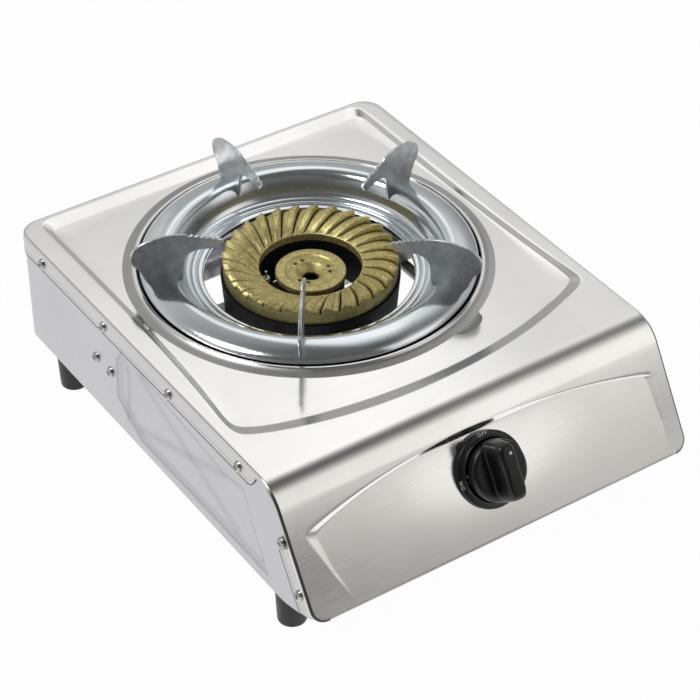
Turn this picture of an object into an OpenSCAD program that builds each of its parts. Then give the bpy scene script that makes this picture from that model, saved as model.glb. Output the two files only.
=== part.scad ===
// Single burner table-top gas stove: folded steel housing, lift-off pan support,
// cast burner with two caps, and a gas train that runs from the front valve to a rear hose inlet.
// Lengths are millimetres. While it is drawn, the burner ring's axis is x = 0, y = 0
// and the flat top is z = 0; place() then sets the whole stove on its feet.

/* [Housing] */
// Width over the side flanges
body_w = 290; // [270:1:330]
// Distance from the mouths of the mixing tubes forward to the line where the front slope starts
front_room = 33.5; // [32:0.5:50]
// How far the front slope reaches forward of that line
front_run = 47.7; // [44:0.5:54]
// How far the front slope drops below the top
front_drop = 75.7; // [74:0.5:79]
// Height of the side panels below the top
side_h = 84; // [82:1:100]
// Distance from the back edge to the middle of the pan support
ring_back = 140.5; // [136:0.5:150]
// Thickness of the stainless sheet
sheet_t = 0.8; // [0.6:0.1:1]
// Radius of the rear corners seen from above
corner_r = 15; // [12:1:20]
// Radius of the bend between the top and the front slope
bend_r = 26; // [20:1:28]
// Height of the cover's flange on the sides and the back
flange_h = 14.5; // [12:0.5:17]
// Width of the cover's flange beside the front slope
front_flange_w = 16.5; // [14:0.5:20]

/* [Top recess] */
// Depth of the shallow recess in the top
recess_depth = 2; // [1.5:0.1:3]
// Width of the border left beside the recess
recess_side = 17.5; // [15:0.5:18]
// Width of the border left behind the recess
recess_rear = 10; // [8:0.5:12]
// Distance from the recess's foremost point to the line where the slope starts
recess_front = 31; // [28:0.5:34]
// Radius of the arc that ends the recess at the front
recess_arc_r = 231; // [200:1:300]
// Radius of the raised rim round the burner well
rim_r = 115.6; // [115:0.1:118]
// Height of that rim above the flat top
rim_h = 0.6; // [0.2:0.1:1.5]
// Outer radius of the sloped band round the rim
band_r = 123.4; // [121:0.1:124]
// Depth of the seat under the rim, below the flat top
seat_depth = 4.2; // [3.5:0.1:6]
// Width of the seat that carries the pan support
seat_w = 11; // [8:0.5:14]

/* [Feet] */
// Height of a foot below the side panels
foot_h = 25; // [15:1:35]
// Radius of a foot where it meets the housing
foot_r = 10.5; // [9:0.1:11]
// Radius of a foot at the floor
foot_tip_r = 9.5; // [7:0.1:10.4]
// Distance of the feet's axes from the side faces
foot_side = 11.5; // [11.5:0.1:13]
// Distance of the rear feet's axes from the back edge
foot_rear = 46.5; // [35:0.5:55]
// Distance of the front feet's axes behind the line where the slope starts
foot_front = -2.5; // [-4:0.5:4]

/* [Pan support] */
// Outer radius of the pan ring
ring_r = 112.7; // [110:0.1:112.9]
// Radius of the opening in the pan ring
ring_bore_r = 70.5; // [66:0.1:74]
// Radius of the ring's crest
ring_crest_r = 98.5; // [95:0.5:101]
// Height of the ring's crest above the flat top
ring_crest_h = 7; // [6:0.1:9]
// Depth of the ring's flat inner flange below the flat top
ring_flange_depth = 9.2; // [7:0.1:11]
// Thickness of the pan ring's sheet
ring_t = 1; // [0.8:0.1:1.2]
// Number of fins that carry the pan
fin_count = 5; // [5]
// Height of the fins above the flat top
fin_h = 36.8; // [34:0.1:42]
// Distance of the fins' inner tips from the ring's axis
fin_tip_r = 57; // [56:0.1:62]
// Distance of the fins' outer ends from the ring's axis
fin_end_r = 119.5; // [117:0.1:122]
// Thickness of a fin
fin_t = 2.2; // [1.6:0.1:3]

/* [Burner] */
// How far the burner stands in front of the pan ring's middle
burner_fwd = 1.9; // [0:0.1:3]
// Outer radius of the burner head
head_r = 60; // [59:0.1:61]
// Depth of the burner head's top edge below the flat top
head_top = 10; // [9:0.5:12]
// Depth of the burner head's underside below the flat top
head_base = 36; // [34:0.5:37]
// Wall of the burner casting
cast_wall = 3.5; // [3:0.1:4]
// Outer radius of the ring cap
cap_r = 58.7; // [57:0.1:59]
// Radius of the opening in the ring cap
cap_bore_r = 34.5; // [34:0.1:36]
// Number of ribs on the ring cap
rib_count = 30; // [24:1:34]
// Height of the ribs' crests above the flat top
rib_h = 4.4; // [3:0.1:5]
// Radius of the centre cap
centre_cap_r = 23.8; // [23:0.1:24.5]
// Depth of the centre cap's top below the flat top
centre_cap_top = 8.6; // [8:0.1:10]
// Radius of the centre cap's middle hole
centre_bore_r = 5; // [4:0.1:6]
// Radius of the mixing tubes
tube_r = 11.5; // [10.5:0.1:12]
// Depth of the mixing tubes' axes below the flat top
tube_depth = 49; // [48:0.5:50]
// Distance of the ring's mixing tube from the middle
ring_tube_x = 17; // [16:0.5:18]
// Distance of the centre mixing tube from the middle
centre_tube_x = 13; // [13:0.5:14]
// Distance from the burner ring's axis to the mouths of the mixing tubes
tube_reach = 146; // [144:0.5:147]

/* [Control] */
// Distance down the front slope from its start line to the knob's axis
knob_slope = 45; // [43:0.5:47]
// Radius of the dial ring
dial_r = 24.85; // [23.5:0.05:26]
// Radius of the knob
knob_r = 20; // [19.5:0.1:21]
// How far the knob stands out from the slope
knob_reach = 27; // [25:0.5:30]
// Travel of the knob when it is pushed in
push_travel = 3; // [2:0.5:3]
// Radius of the spindle
spindle_r = 4; // [3.5:0.1:4.5]

/* [Gas inlet] */
// Distance of the feed pipe from the right side face
pipe_side = 50; // [45:0.5:55]
// Depth of the feed pipe's axis below the flat top
pipe_depth = 60; // [59:0.5:62]
// Radius of the feed pipe
pipe_r = 4; // [3:0.1:4.5]
// Radius of the inlet's hose spigot
spigot_r = 4.75; // [4:0.05:5.5]
// Length of the plain spigot
spigot_l = 22; // [18:0.5:28]

/* [Hidden] */
$fn = 64;
over = 1;
fine = 96;
run_clear = 0.08;
mesh_clear = 0.3;

// Edges of the housing, seen from the burner ring's axis
back_y = ring_back;
bend_y = -tube_reach - front_room;
toe_y = bend_y - front_run;
slope_a = atan2(front_drop, front_run);
slope_l = norm([front_run, front_drop]);
half_w = body_w / 2;
pipe_x = half_w - pipe_side;
bend_tangent = bend_r * tan(slope_a / 2);
top_z = side_h + foot_h;

// Points of an arc about [cx, cy], from angle a0 to angle a1
function arc(cx, cy, r, a0, a1, n) =
  [for (i = [0:n]) let (a = a0 + (a1 - a0) * i / n) [cx + r * cos(a), cy + r * sin(a)]];

// Unit vector from p to q
function toward(p, q) = (q - p) / norm(q - p);

// A closed outline with every corner rounded to its own radius, counted in four steps a corner
function rounded(pts, radii) = [for (i = [0:len(pts) - 1])
  let (n = len(pts), p = pts[i], u = toward(p, pts[(i + n - 1) % n]), v = toward(p, pts[(i + 1) % n]),
    turn = acos(max(-1, min(1, u * v))), r = radii[i], reach = r / tan(turn / 2),
    mid = toward([0, 0], u + v), c = p + mid * r / sin(turn / 2),
    a0 = atan2((p + u * reach - c)[1], (p + u * reach - c)[0]),
    a1 = atan2((p + v * reach - c)[1], (p + v * reach - c)[0]),
    sweep = (a1 - a0 > 180) ? a1 - a0 - 360 : (a1 - a0 < -180) ? a1 - a0 + 360 : a1 - a0)
  each (r == 0 ? [p] : arc(c[0], c[1], r, a0, a0 + sweep, 4))];

// Draws an outline given as [y, z] points across the width w
module across(w, pts) rotate([90, 0, 90]) linear_extrude(w, center = true) polygon(pts);

// Stands the stove on its feet with its footprint centred
module place() translate([0, -(front_reach + rear_reach) / 2, top_z]) children();

// A frame on the front slope: y runs up the slope, z stands out of it
module on_slope(down) translate([0, bend_y - down * cos(slope_a), -down * sin(slope_a)])
  rotate([slope_a, 0, 0]) children();

module both_sides() {
  children();
  mirror([1, 0, 0]) children();
}

// Side view of the housing, drawn in by o all round
function slope_y(o, z) = bend_y + (o + z * cos(slope_a)) / sin(slope_a);
function side_view(o, bottom) = concat(
  [[back_y - o, bottom], [back_y - o, -o]],
  arc(bend_y + bend_tangent, -bend_r, bend_r - o, 90, 90 + slope_a, 8),
  [[slope_y(o, bottom), bottom]]);

// Plan of the housing with its rounded rear corners, drawn in by o
function plan_view(o) = let (x = half_w - o) rounded(
  [[x, toe_y - over], [x, back_y - o], [-x, back_y - o], [-x, toe_y - over]],
  [0, corner_r - o, corner_r - o, 0]);

module housing_block(o, bottom) intersection() {
  across(body_w - 2 * o, side_view(o, bottom));
  translate([0, 0, -side_h - over]) linear_extrude(side_h + 2 * over) polygon(plan_view(o));
}

// Recess in the top: straight behind and beside, and a bowed arc in front
recess_half = half_w - recess_side;
recess_nose = bend_y + recess_front;
recess_rear_r = 8;
recess_nose_r = 14;
nose_a = asin((recess_half - recess_nose_r) / (recess_arc_r - recess_nose_r));
nose_y = recess_nose + recess_arc_r - (recess_arc_r - recess_nose_r) * cos(nose_a);
module recess_area(grow, depth) {
  side = recess_half - recess_nose_r;
  rear = back_y - recess_rear - recess_rear_r;
  translate([0, 0, -depth]) linear_extrude(depth + over) polygon(concat(
    arc(recess_half - recess_rear_r, rear, recess_rear_r + grow, 0, 90, 6),
    arc(recess_rear_r - recess_half, rear, recess_rear_r + grow, 90, 180, 6),
    arc(-side, nose_y, recess_nose_r + grow, 180, 270 - nose_a, 6),
    arc(0, recess_nose + recess_arc_r, recess_arc_r + grow, 270 - nose_a + 1, 270 + nose_a - 1, 30),
    arc(side, nose_y, recess_nose_r + grow, 270 + nose_a, 360, 6)));
}

// Shield-shaped recess in the front slope, deepest at the top and running out at the bottom
shield_crown = 14.5;
shield_shoulder = 33;
shield_top_side = 11;
shield_foot_side = 20;
shield_depth = 2.4;
shield_foot = 83;
shield_a = atan2(shield_depth, shield_foot - shield_crown);
module shield_area(grow, deeper) on_slope(shield_foot) {
  half = half_w - shield_top_side;
  foot = half_w - shield_foot_side;
  rise = shield_shoulder - shield_crown;
  r = (pow(half, 2) + pow(rise, 2)) / (2 * rise);
  a = asin(half / r);
  high = shield_foot - shield_crown;
  rotate([-shield_a, 0, 0]) translate([0, 0, -deeper])
    linear_extrude(deeper + shield_depth + over) polygon(concat(
      arc(0, high - r, r + grow, 90 - a, 90 + a, 20),
      [[-foot - grow, 0], [foot + grow, 0]]));
}

// Flat pad under the dial ring
pad_depth = 2.1;
pad_r = dial_r + mesh_clear;
panel_hole_r = 14;
valve_screw_x = 17.5;
valve_screw_r = 1.5;
hole_clear = 0.2;

// Sheet screws that hold the cover, in side view
screw_r = 1.75;
screw_head_r = 3.6;
screw_head_h = 2;
screw_l = 8;
flange_screw_share = 0.6;
flange_screw_z = -flange_h * flange_screw_share;
flange_screw_rear = 37;
flange_screw_step = 82;
function flange_screw(i) = [back_y - flange_screw_rear - flange_screw_step * i, flange_screw_z];
front_screw_drop = [34, 63];
function front_screw(i) = let (drop = front_screw_drop[i])
  [slope_y(front_flange_w / 2 + sheet_t, -drop), -drop];
side_screws = concat([for (i = [0:3]) flange_screw(i)], [for (i = [0:1]) front_screw(i)]);

// The cross bracket that carries the burner, and its screws
bracket_t = 1.2;
bracket_y = 26.5;
bracket_w = 14;
bracket_lip = 15;
bracket_tab_w = 32;
bracket_tab_h = 13;
bracket_screw_step = 18.8;
bracket_screw_drop = 5.3;
bracket_gap = 2;
bracket_top = -head_base - bracket_gap;
bracket_side_screws = [for (s = [-1, 1])
  [bracket_y + s * bracket_screw_step / 2, bracket_top - bracket_screw_drop]];

module side_holes(places) for (p = places) translate([0, p[0], p[1]])
  rotate([0, 90, 0]) cylinder(body_w + 2 * over, r = screw_r + hole_clear, center = true);

// What the cover's side walls leave open: all below the flanges, and a notch at the bend
notch_back = 28;
notch_y = bend_y + notch_back;
notch_top = 8.3;
notch_gap = 3;
module below_flanges() {
  fall = front_flange_w / tan(slope_a);
  across(body_w + 2 * over, concat(
    [[back_y + over, -side_h - over], [back_y + over, -flange_h],
     [notch_y, -flange_h], [notch_y - notch_top, -notch_top]],
    arc(bend_y + bend_tangent, -bend_r, bend_r - notch_gap, 105, 90 + slope_a, 5),
    [[slope_y(notch_gap, -bend_r), -bend_r], [slope_y(front_flange_w, -bend_r - fall), -bend_r - fall],
     [slope_y(front_flange_w, -side_h - over), -side_h - over]]));
}

lip_w = 12;
toe_corner_r = 10;
module toe_corners() both_sides() on_slope(slope_l) translate([half_w - toe_corner_r, toe_corner_r, 0])
  difference() {
    translate([0, -toe_corner_r - over, -lip_w])
      cube([toe_corner_r + over, toe_corner_r + over, lip_w + over]);
    cylinder(3 * lip_w, r = toe_corner_r, center = true);
  }
// Slits between the turned-in bottom edge and the flanges, where the side panels pass
module lip_ends() both_sides() translate([sheet_t - half_w, toe_y + 2 * sheet_t, -front_drop - over])
  cube([sheet_t + panel_gap, 2 * front_flange_w, sheet_t + 2 * over]);

// Well rim: a sloped band, a turned edge and the seat that carries the pan support
seat_r = rim_r - sheet_t - seat_w;
module well_rim() rotate_extrude($fn = fine) polygon([
  [band_r + sheet_t, -recess_depth], [rim_r + sheet_t, rim_h - sheet_t / 2], [rim_r, rim_h],
  [rim_r - sheet_t / 2, rim_h - sheet_t / 4], [rim_r - sheet_t, rim_h - sheet_t],
  [rim_r - sheet_t, -seat_depth], [seat_r, -seat_depth], [seat_r, -seat_depth - sheet_t],
  [rim_r, -seat_depth - sheet_t], [rim_r, rim_h - 2 * sheet_t], [band_r, -recess_depth - sheet_t],
  [band_r + sheet_t, -recess_depth - sheet_t]]);

module top_cover() color("lightgray") place() {
  difference() {
    union() {
      difference() {
        housing_block(0, -front_drop);
        housing_block(sheet_t, -front_drop + sheet_t);
        below_flanges();
      }
      intersection() {
        recess_area(sheet_t, recess_depth + sheet_t);
        housing_block(0, -front_drop);
      }
      intersection() {
        shield_area(sheet_t, sheet_t);
        housing_block(0, -front_drop);
      }
      on_slope(knob_slope) translate([0, 0, -pad_depth - sheet_t])
        cylinder(pad_depth + sheet_t / 2, r = pad_r + sheet_t, $fn = fine);
    }
    recess_area(0, recess_depth);
    shield_area(0, 0);
    on_slope(knob_slope) {
      translate([0, 0, -pad_depth]) cylinder(pad_depth + over, r = pad_r, $fn = fine);
      cylinder(4 * pad_depth, r = panel_hole_r, center = true);
      both_sides() translate([valve_screw_x, 0, 0])
        cylinder(4 * pad_depth, r = valve_screw_r + hole_clear, center = true);
    }
    translate([0, 0, -seat_depth]) cylinder(seat_depth + over, r = band_r, $fn = fine);
    side_holes(side_screws);
    toe_corners();
    lip_ends();
  }
  well_rim();
}

// Side panels: a stamped plate with a turned-in foot flange and a rounded rear corner
panel_gap = 0.8;
panel_corner_r = 15;
toe_rise = [0, 3.9, 9.6];
toe_back = [34.7, 23, 6.5];
foot_flange_w = 23;
rear_tab = 12;
panel_view = concat(
  arc(back_y - panel_corner_r, -side_h + panel_corner_r, panel_corner_r, -90, 0, 8),
  [[back_y, -sheet_t - panel_gap]],
  arc(bend_y + bend_tangent, -bend_r, bend_r - sheet_t - panel_gap, 90, 90 + slope_a, 8),
  [for (i = [2:-1:0]) [toe_y + toe_back[i], -side_h + toe_rise[i]]]);
dent_depth = 1.5;
// Its outline, in shares of the side's height, and the radii of its corners
dent_shares = [[-0.012, -0.202], [-1.464, -0.333], [-1.738, -0.298], [-2.048, -0.899],
  [-0.202, -0.917], [0.113, -0.702], [0.089, -0.321]];
dent_radii = [4, 8, 6, 8, 6, 6, 5];
// An outline moved outwards by the same amount all round
function grown(pts, by) = [for (i = [0:len(pts) - 1])
  let (n = len(pts), p = pts[i], u = toward(p, pts[(i + n - 1) % n]), v = toward(p, pts[(i + 1) % n]))
  p + by * (u + v) / (u[0] * v[1] - u[1] * v[0])];
module dent_area(grow, depth) translate([-half_w + sheet_t + depth / 2, 0, 0])
  across(depth, rounded(grown([for (p = dent_shares) p * side_h], grow), dent_radii));

module side_panel() {
  difference() {
    union() {
      intersection() {
        translate([0, 0, -side_h]) linear_extrude(side_h) difference() {
          polygon(plan_view(sheet_t));
          polygon(plan_view(2 * sheet_t));
          translate([-half_w + corner_r + rear_tab, toe_y - 2 * over])
            square([body_w, back_y - toe_y + 4 * over]);
        }
        across(body_w + over, panel_view);
      }
      intersection() {
        translate([-half_w + sheet_t, toe_y + toe_back[0], -side_h])
          cube([foot_flange_w, back_y - panel_corner_r - toe_y - toe_back[0], sheet_t]);
        across(body_w, panel_view);
      }
      dent_area(sheet_t, dent_depth + sheet_t);
    }
    translate([-over, 0, 0]) dent_area(0, dent_depth + over);
    side_holes(concat(side_screws, bracket_side_screws));
    foot_places() cylinder(4 * foot_h, r = foot_screw_r + hole_clear, center = true);
    rear_screw_places() cylinder(rear_screw_l * 2, r = screw_r + hole_clear, center = true);
  }
}
module side_panel_left() color("silver") place() side_panel();
module side_panel_right() color("silver") place() mirror([1, 0, 0]) side_panel();

// Rear panel: louvred plate between the side panels, bent under at the bottom
rear_flange_w = 14;
rear_o = 2 * sheet_t;
rear_half = half_w - corner_r - mesh_clear;
vent_count = 9;
vent_pitch = 11;
vent_w = 5;
vent_h = 34;
vent_top = 30;
rear_screw_z = [24, 62];
rear_screw_x = half_w - corner_r - rear_tab / 2;
rear_screw_l = 6;
nipple_hole_r = 6.2;
module rear_screw_places() both_sides() for (z = rear_screw_z) translate([rear_screw_x, back_y - sheet_t, -z])
  rotate([-90, 0, 0]) children();

module rear_panel() color("silver") place() difference() {
  across(2 * rear_half, concat(
    [[back_y - rear_o, -sheet_t]],
    arc(back_y - panel_corner_r, -side_h + panel_corner_r, panel_corner_r - rear_o, 0, -90, 8),
    [[back_y - panel_corner_r - rear_flange_w, -side_h + rear_o],
     [back_y - panel_corner_r - rear_flange_w, -side_h + rear_o + sheet_t]],
    arc(back_y - panel_corner_r, -side_h + panel_corner_r, panel_corner_r - rear_o - sheet_t, -90, 0, 8),
    [[back_y - rear_o - sheet_t, -sheet_t]]));
  for (i = [0:vent_count - 1])
    translate([(i - (vent_count - 1) / 2) * vent_pitch, back_y, -vent_top - vent_h / 2])
      cube([vent_w, 8 * sheet_t, vent_h], center = true);
  rear_screw_places() cylinder(rear_screw_l * 2, r = screw_r + hole_clear, center = true);
  translate([pipe_x, back_y, -pipe_depth]) rotate([90, 0, 0])
    cylinder(8 * sheet_t, r = nipple_hole_r, center = true);
}

// A pan-head screw with its head's underside at z = 0 and its shank below
slot_w = 0.9;
slot_share = 0.6;
screw_top_share = 0.72;
module screw(shank_r, shank_l, head_r, head_h) {
  translate([0, 0, -shank_l]) cylinder(shank_l + head_h / 2, r = shank_r);
  difference() {
    union() {
      cylinder(head_h / 2, r = head_r);
      translate([0, 0, head_h / 2]) cylinder(head_h / 2, r1 = head_r, r2 = head_r * screw_top_share);
    }
    for (a = [0, 90]) rotate([0, 0, a]) translate([0, 0, head_h])
      cube([2 * head_r * slot_share, slot_w, head_h], center = true);
  }
}
module side_screw_set(places) for (p = places) translate([-half_w, p[0], p[1]])
  rotate([0, -90, 0]) screw(screw_r, screw_l, screw_head_r, screw_head_h);
module cover_screws() color("silver") place() both_sides() side_screw_set(side_screws);
module bracket_screws() color("silver") place() both_sides()
  translate([sheet_t, 0, 0]) side_screw_set(bracket_side_screws);
module rear_screws() color("silver") place() rear_screw_places()
  screw(screw_r, rear_screw_l, screw_head_r, screw_head_h);

// Cross bracket under the burner
burner_screw_x = 42;
burner_screw_r = 2;
module burner_screw_places() both_sides() translate([burner_screw_x, bracket_y, bracket_top - bracket_t])
  rotate([180, 0, 0]) children();
module burner_bracket() color("gray") place() {
  reach = half_w - 2 * sheet_t;
  y0 = bracket_y - bracket_w / 2;
  difference() {
    translate([-reach, y0, bracket_top - bracket_lip]) cube([2 * reach, bracket_w, bracket_lip]);
    translate([-reach - over, y0 + bracket_t, bracket_top - bracket_lip - over])
      cube([2 * (reach + over), bracket_w - 2 * bracket_t, bracket_lip + over - bracket_t]);
    burner_screw_places() cylinder(4 * bracket_t, r = burner_screw_r + hole_clear, center = true);
  }
  both_sides() difference() {
    translate([-reach, bracket_y - bracket_tab_w / 2, bracket_top - bracket_tab_h])
      cube([bracket_t, bracket_tab_w, bracket_tab_h]);
    side_holes(bracket_side_screws);
  }
}
burner_screw_l = 6;
module burner_screws() color("silver") place() burner_screw_places()
  screw(burner_screw_r, burner_screw_l, 2 * burner_screw_r, burner_screw_r);

// Feet: rubber bushes held by a screw through the foot flange
foot_screw_r = 2;
foot_screw_l = 16;
foot_well_r = 5;
foot_well = 12;
foot_y = [back_y - foot_rear, bend_y + foot_front];
foot_x = half_w - foot_side;
module foot_places() for (y = foot_y) translate([-foot_x, y, -side_h]) children();
module foot() difference() {
  translate([0, 0, -foot_h]) cylinder(foot_h, r1 = foot_tip_r, r2 = foot_r);
  cylinder(3 * foot_h, r = foot_screw_r + hole_clear, center = true);
  translate([0, 0, -foot_h - over]) cylinder(foot_well + over, r = foot_well_r);
}
module one_foot(side, i) color([0.08, 0.08, 0.08]) place()
  translate([side * foot_x, foot_y[i], -side_h]) foot();
module foot_front_left() one_foot(-1, 1);
module foot_front_right() one_foot(1, 1);
module foot_rear_left() one_foot(-1, 0);
module foot_rear_right() one_foot(1, 0);
module foot_screws() color("silver") place() both_sides() foot_places()
  translate([0, 0, -foot_h + foot_well]) rotate([180, 0, 0])
    screw(foot_screw_r, foot_screw_l, 2 * foot_screw_r, foot_screw_r);

// Pan ring: a domed sheet ring whose outer edge turns down onto the seat
ring_edge_h = 3;
ring_land = 10;
ring_foot_r = ring_bore_r + ring_land;
ring_thin_shares = [0.2, 0.7, 0.9];
function ring_outer(s, share) = [share * (ring_crest_r - ring_r) * sin(90 * s),
  ring_edge_h + (ring_crest_h - ring_edge_h) * sin(90 * s) * (2 - sin(90 * s))];
function ring_inner(s) = [ring_crest_r + (ring_foot_r - ring_crest_r) * sin(90 * s),
  ring_crest_h - (ring_crest_h + ring_flange_depth - ring_t) * (1 - cos(90 * s))];
function ring_top() = concat(
  [[ring_r - ring_t, -seat_depth], [ring_r, -seat_depth], [ring_r, ring_edge_h]],
  [for (i = [1:8]) [ring_r, 0] + ring_outer(i / 8, 1)],
  [for (i = [1:10]) ring_inner(i / 10)],
  [[ring_bore_r + ring_t, -ring_flange_depth], [ring_bore_r, -ring_flange_depth - ring_t]]);
function ring_under() = concat(
  [[ring_bore_r, -ring_flange_depth - 3 * ring_t], [ring_bore_r + ring_t, -ring_flange_depth - 3 * ring_t],
   [ring_bore_r + ring_t, -ring_flange_depth - ring_t]],
  [for (i = [10:-1:0]) let (s = i / 10)
    ring_inner(s) + [ring_t * (ring_thin_shares[0] + ring_thin_shares[1] * s), -ring_t]],
  [for (i = [7:-1:0]) [ring_r - ring_t, -ring_t] + ring_outer(i / 8, ring_thin_shares[2])]);
module pan_ring() color([0.75, 0.8, 0.85]) place() rotate_extrude($fn = fine)
  polygon(concat(ring_top(), ring_under()));

// Fin outline in shares of its reach along the radius and of its height above the flat top
fin_shares = [[0, 0.7], [0.04, 0.565], [0.13, 0.58], [0.24, 0.6], [0.33, 0.585], [0.39, 0.52],
  [0.43, 0.4], [0.45, 0.2], [0.475, 0.06], [0.52, 0.12], [0.58, 0.155], [0.66, 0.17], [0.75, 0.15],
  [0.86, 0.1], [0.88, 0.22], [0.915, 0.36], [0.97, 0.46], [1, 0.6], [0.99, 0.75], [0.945, 0.85],
  [0.865, 0.93], [0.75, 0.98], [0.62, 1], [0.52, 0.99]];
fin_teeth = 6;
fin_tooth_shares = [0.42, 0.03, 0.945, 0.735];
fin_tooth_h = 0.9;
function fin_points() = concat(
  [for (p = fin_shares) [fin_tip_r + p[0] * (fin_end_r - fin_tip_r), p[1] * fin_h]],
  [for (i = [0:2 * fin_teeth]) let (s = i / (2 * fin_teeth), t = fin_tooth_shares)
    [fin_tip_r + (t[0] + (t[1] - t[0]) * s) * (fin_end_r - fin_tip_r),
     (t[2] + (t[3] - t[2]) * pow(s, 1.5)) * fin_h - (i % 2) * fin_tooth_h]]);
fin_first_a = 90;
module pan_fin(i) color([0.55, 0.57, 0.6]) place() rotate([0, 0, fin_first_a + 360 / fin_count * i])
  rotate([90, 0, 0]) linear_extrude(fin_t, center = true) polygon(fin_points());

// Burner casting: an annular trough and a centre cup, each fed by its own mixing tube
module at_burner() place() translate([0, -burner_fwd, 0]) children();
cup_overhang = 1.3;
cup_r = centre_cap_r - cup_overhang;
cap_rim_h = 4;
cup_top = centre_cap_top + cap_rim_h;
head_draft = 2;
floor_t = 3.5;
neck_y = [-45, -2];
port_r = 7.5;
tube_wall = 2.8;
tube_bore_r = tube_r - tube_wall;
web_a = [35, 145, 270];
web_w = 9;
leg_w = 12;
leg_back = 18;
leg_y = tube_reach - leg_back;
shelf_drop = 13;
shelf_z = -pipe_depth - shelf_drop;
ceramic_r = 2.6;
electrode_a = 145;
electrode_r = 29.8;
shutter_back = 1.6;
shutter_l = 9;
shutter_t = 1.5;
window_h = 9;
window_l = 5;
tube_x = [ring_tube_x, -centre_tube_x];
shutter_y = burner_fwd - tube_reach + shutter_back + shutter_l / 2;
module tube_solid(i, r) translate([tube_x[i], neck_y[i], -tube_depth]) rotate([90, 0, 0])
  cylinder(tube_reach - burner_fwd + neck_y[i], r = r);
module burner_body() color([0.1, 0.1, 0.1]) at_burner() {
  difference() {
    union() {
      translate([0, 0, -head_base])
        cylinder(head_base - head_top, r1 = head_r - head_draft, r2 = head_r, $fn = fine);
      for (i = [0, 1]) {
        tube_solid(i, tube_r);
        translate([tube_x[i], neck_y[i], -tube_depth]) cylinder(tube_depth - head_base + over, r = tube_r);
        translate([tube_x[i], neck_y[i], -tube_depth]) sphere(tube_r);
      }
      both_sides() translate([burner_screw_x, bracket_y + burner_fwd, bracket_top])
        cylinder(bracket_gap + floor_t, r = 3 * burner_screw_r);
      translate([-centre_tube_x - tube_r / 2, -leg_y, -tube_depth - tube_r / 2])
        cube([ring_tube_x + centre_tube_x + tube_r, leg_w, tube_r / 2]);
      translate([-leg_w / 2 + (ring_tube_x - centre_tube_x) / 2, -leg_y, shelf_z])
        cube([leg_w, leg_w, -shelf_z - tube_depth]);
    }
    difference() {
      translate([0, 0, -head_base + floor_t]) cylinder(head_base, r = head_r - cast_wall, $fn = fine);
      translate([0, 0, -head_base - over])
        cylinder(head_base + 2 * over, r = cap_bore_r + cast_wall, $fn = fine);
    }
    difference() {
      translate([0, 0, -head_base - over]) cylinder(head_base + 2 * over, r = cap_bore_r, $fn = fine);
      translate([0, 0, -head_base - 2 * over]) cylinder(head_base - cup_top + 2 * over, r = cup_r);
      for (a = web_a) rotate([0, 0, a]) translate([0, -web_w / 2, -head_base - 2 * over])
        cube([cap_bore_r + over, web_w, floor_t * 2 + 2 * over]);
      translate([tube_x[1], neck_y[1], -head_base - 2 * over]) cylinder(floor_t + 2 * over, r = tube_r);
      for (i = [0, 1]) tube_solid(i, tube_r);
    }
    translate([0, 0, -head_base + floor_t]) cylinder(head_base, r = cup_r - cast_wall);
    for (i = [0, 1]) {
      translate([tube_x[i], neck_y[i], -tube_depth]) {
        rotate([90, 0, 0]) cylinder(tube_reach, r = tube_bore_r);
        cylinder(tube_depth - head_base + floor_t + over, r = port_r);
      }
      translate([tube_x[i], shutter_y, -tube_depth]) cube([3 * tube_r, window_l, window_h], center = true);
    }
    both_sides() translate([burner_screw_x, bracket_y + burner_fwd, bracket_top - over])
      cylinder(burner_screw_l, r = burner_screw_r + hole_clear);
    rotate([0, 0, electrode_a]) translate([electrode_r, 0, -2 * head_base])
      cylinder(2 * head_base, r = ceramic_r + run_clear);
    translate([(ring_tube_x - centre_tube_x) / 2, -leg_y + leg_w / 2, shelf_z - over])
      cylinder(leg_screw_l, r = leg_screw_r + hole_clear);
  }
}

// Ring cap: a turned ring crossed by slanting ribs with flame slots between them
cap_skirt = 5;
rib_inner_top = -4.2;
rib_round = [[2, 3], [6, 0], [11, 0.9]];
rib_toe = [2, 0.6];
rib_swirl = 10;
rib_in_w = 4.6;
rib_out_w = 8.6;
groove_depth = 2.6;
function cap_profile(lower) = [
  [cap_bore_r, -head_top], [cap_r, -head_top], [cap_r, -head_top + cap_skirt - lower / 2],
  for (p = rib_round) [cap_r - p[0], rib_h - p[1] - lower],
  [cap_bore_r + rib_toe[0], rib_inner_top + rib_toe[1] - lower], [cap_bore_r, rib_inner_top - lower]];
module burner_cap_ring() color([0.72, 0.63, 0.35]) at_burner() {
  rotate_extrude($fn = fine) polygon(cap_profile(groove_depth));
  intersection() {
    rotate_extrude($fn = fine) polygon(cap_profile(0));
    union() for (i = [0:rib_count - 1]) rotate([0, 0, 360 / rib_count * i])
      translate([0, 0, -head_top + over]) linear_extrude(2 * head_top) polygon([
        [cap_bore_r - over, -rib_in_w / 2], [cap_bore_r - over, rib_in_w / 2],
        for (s = [1, -1])
          [(cap_r + over) * cos(rib_swirl), s * rib_out_w / 2 - (cap_r + over) * sin(rib_swirl)]]);
  }
}

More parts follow.
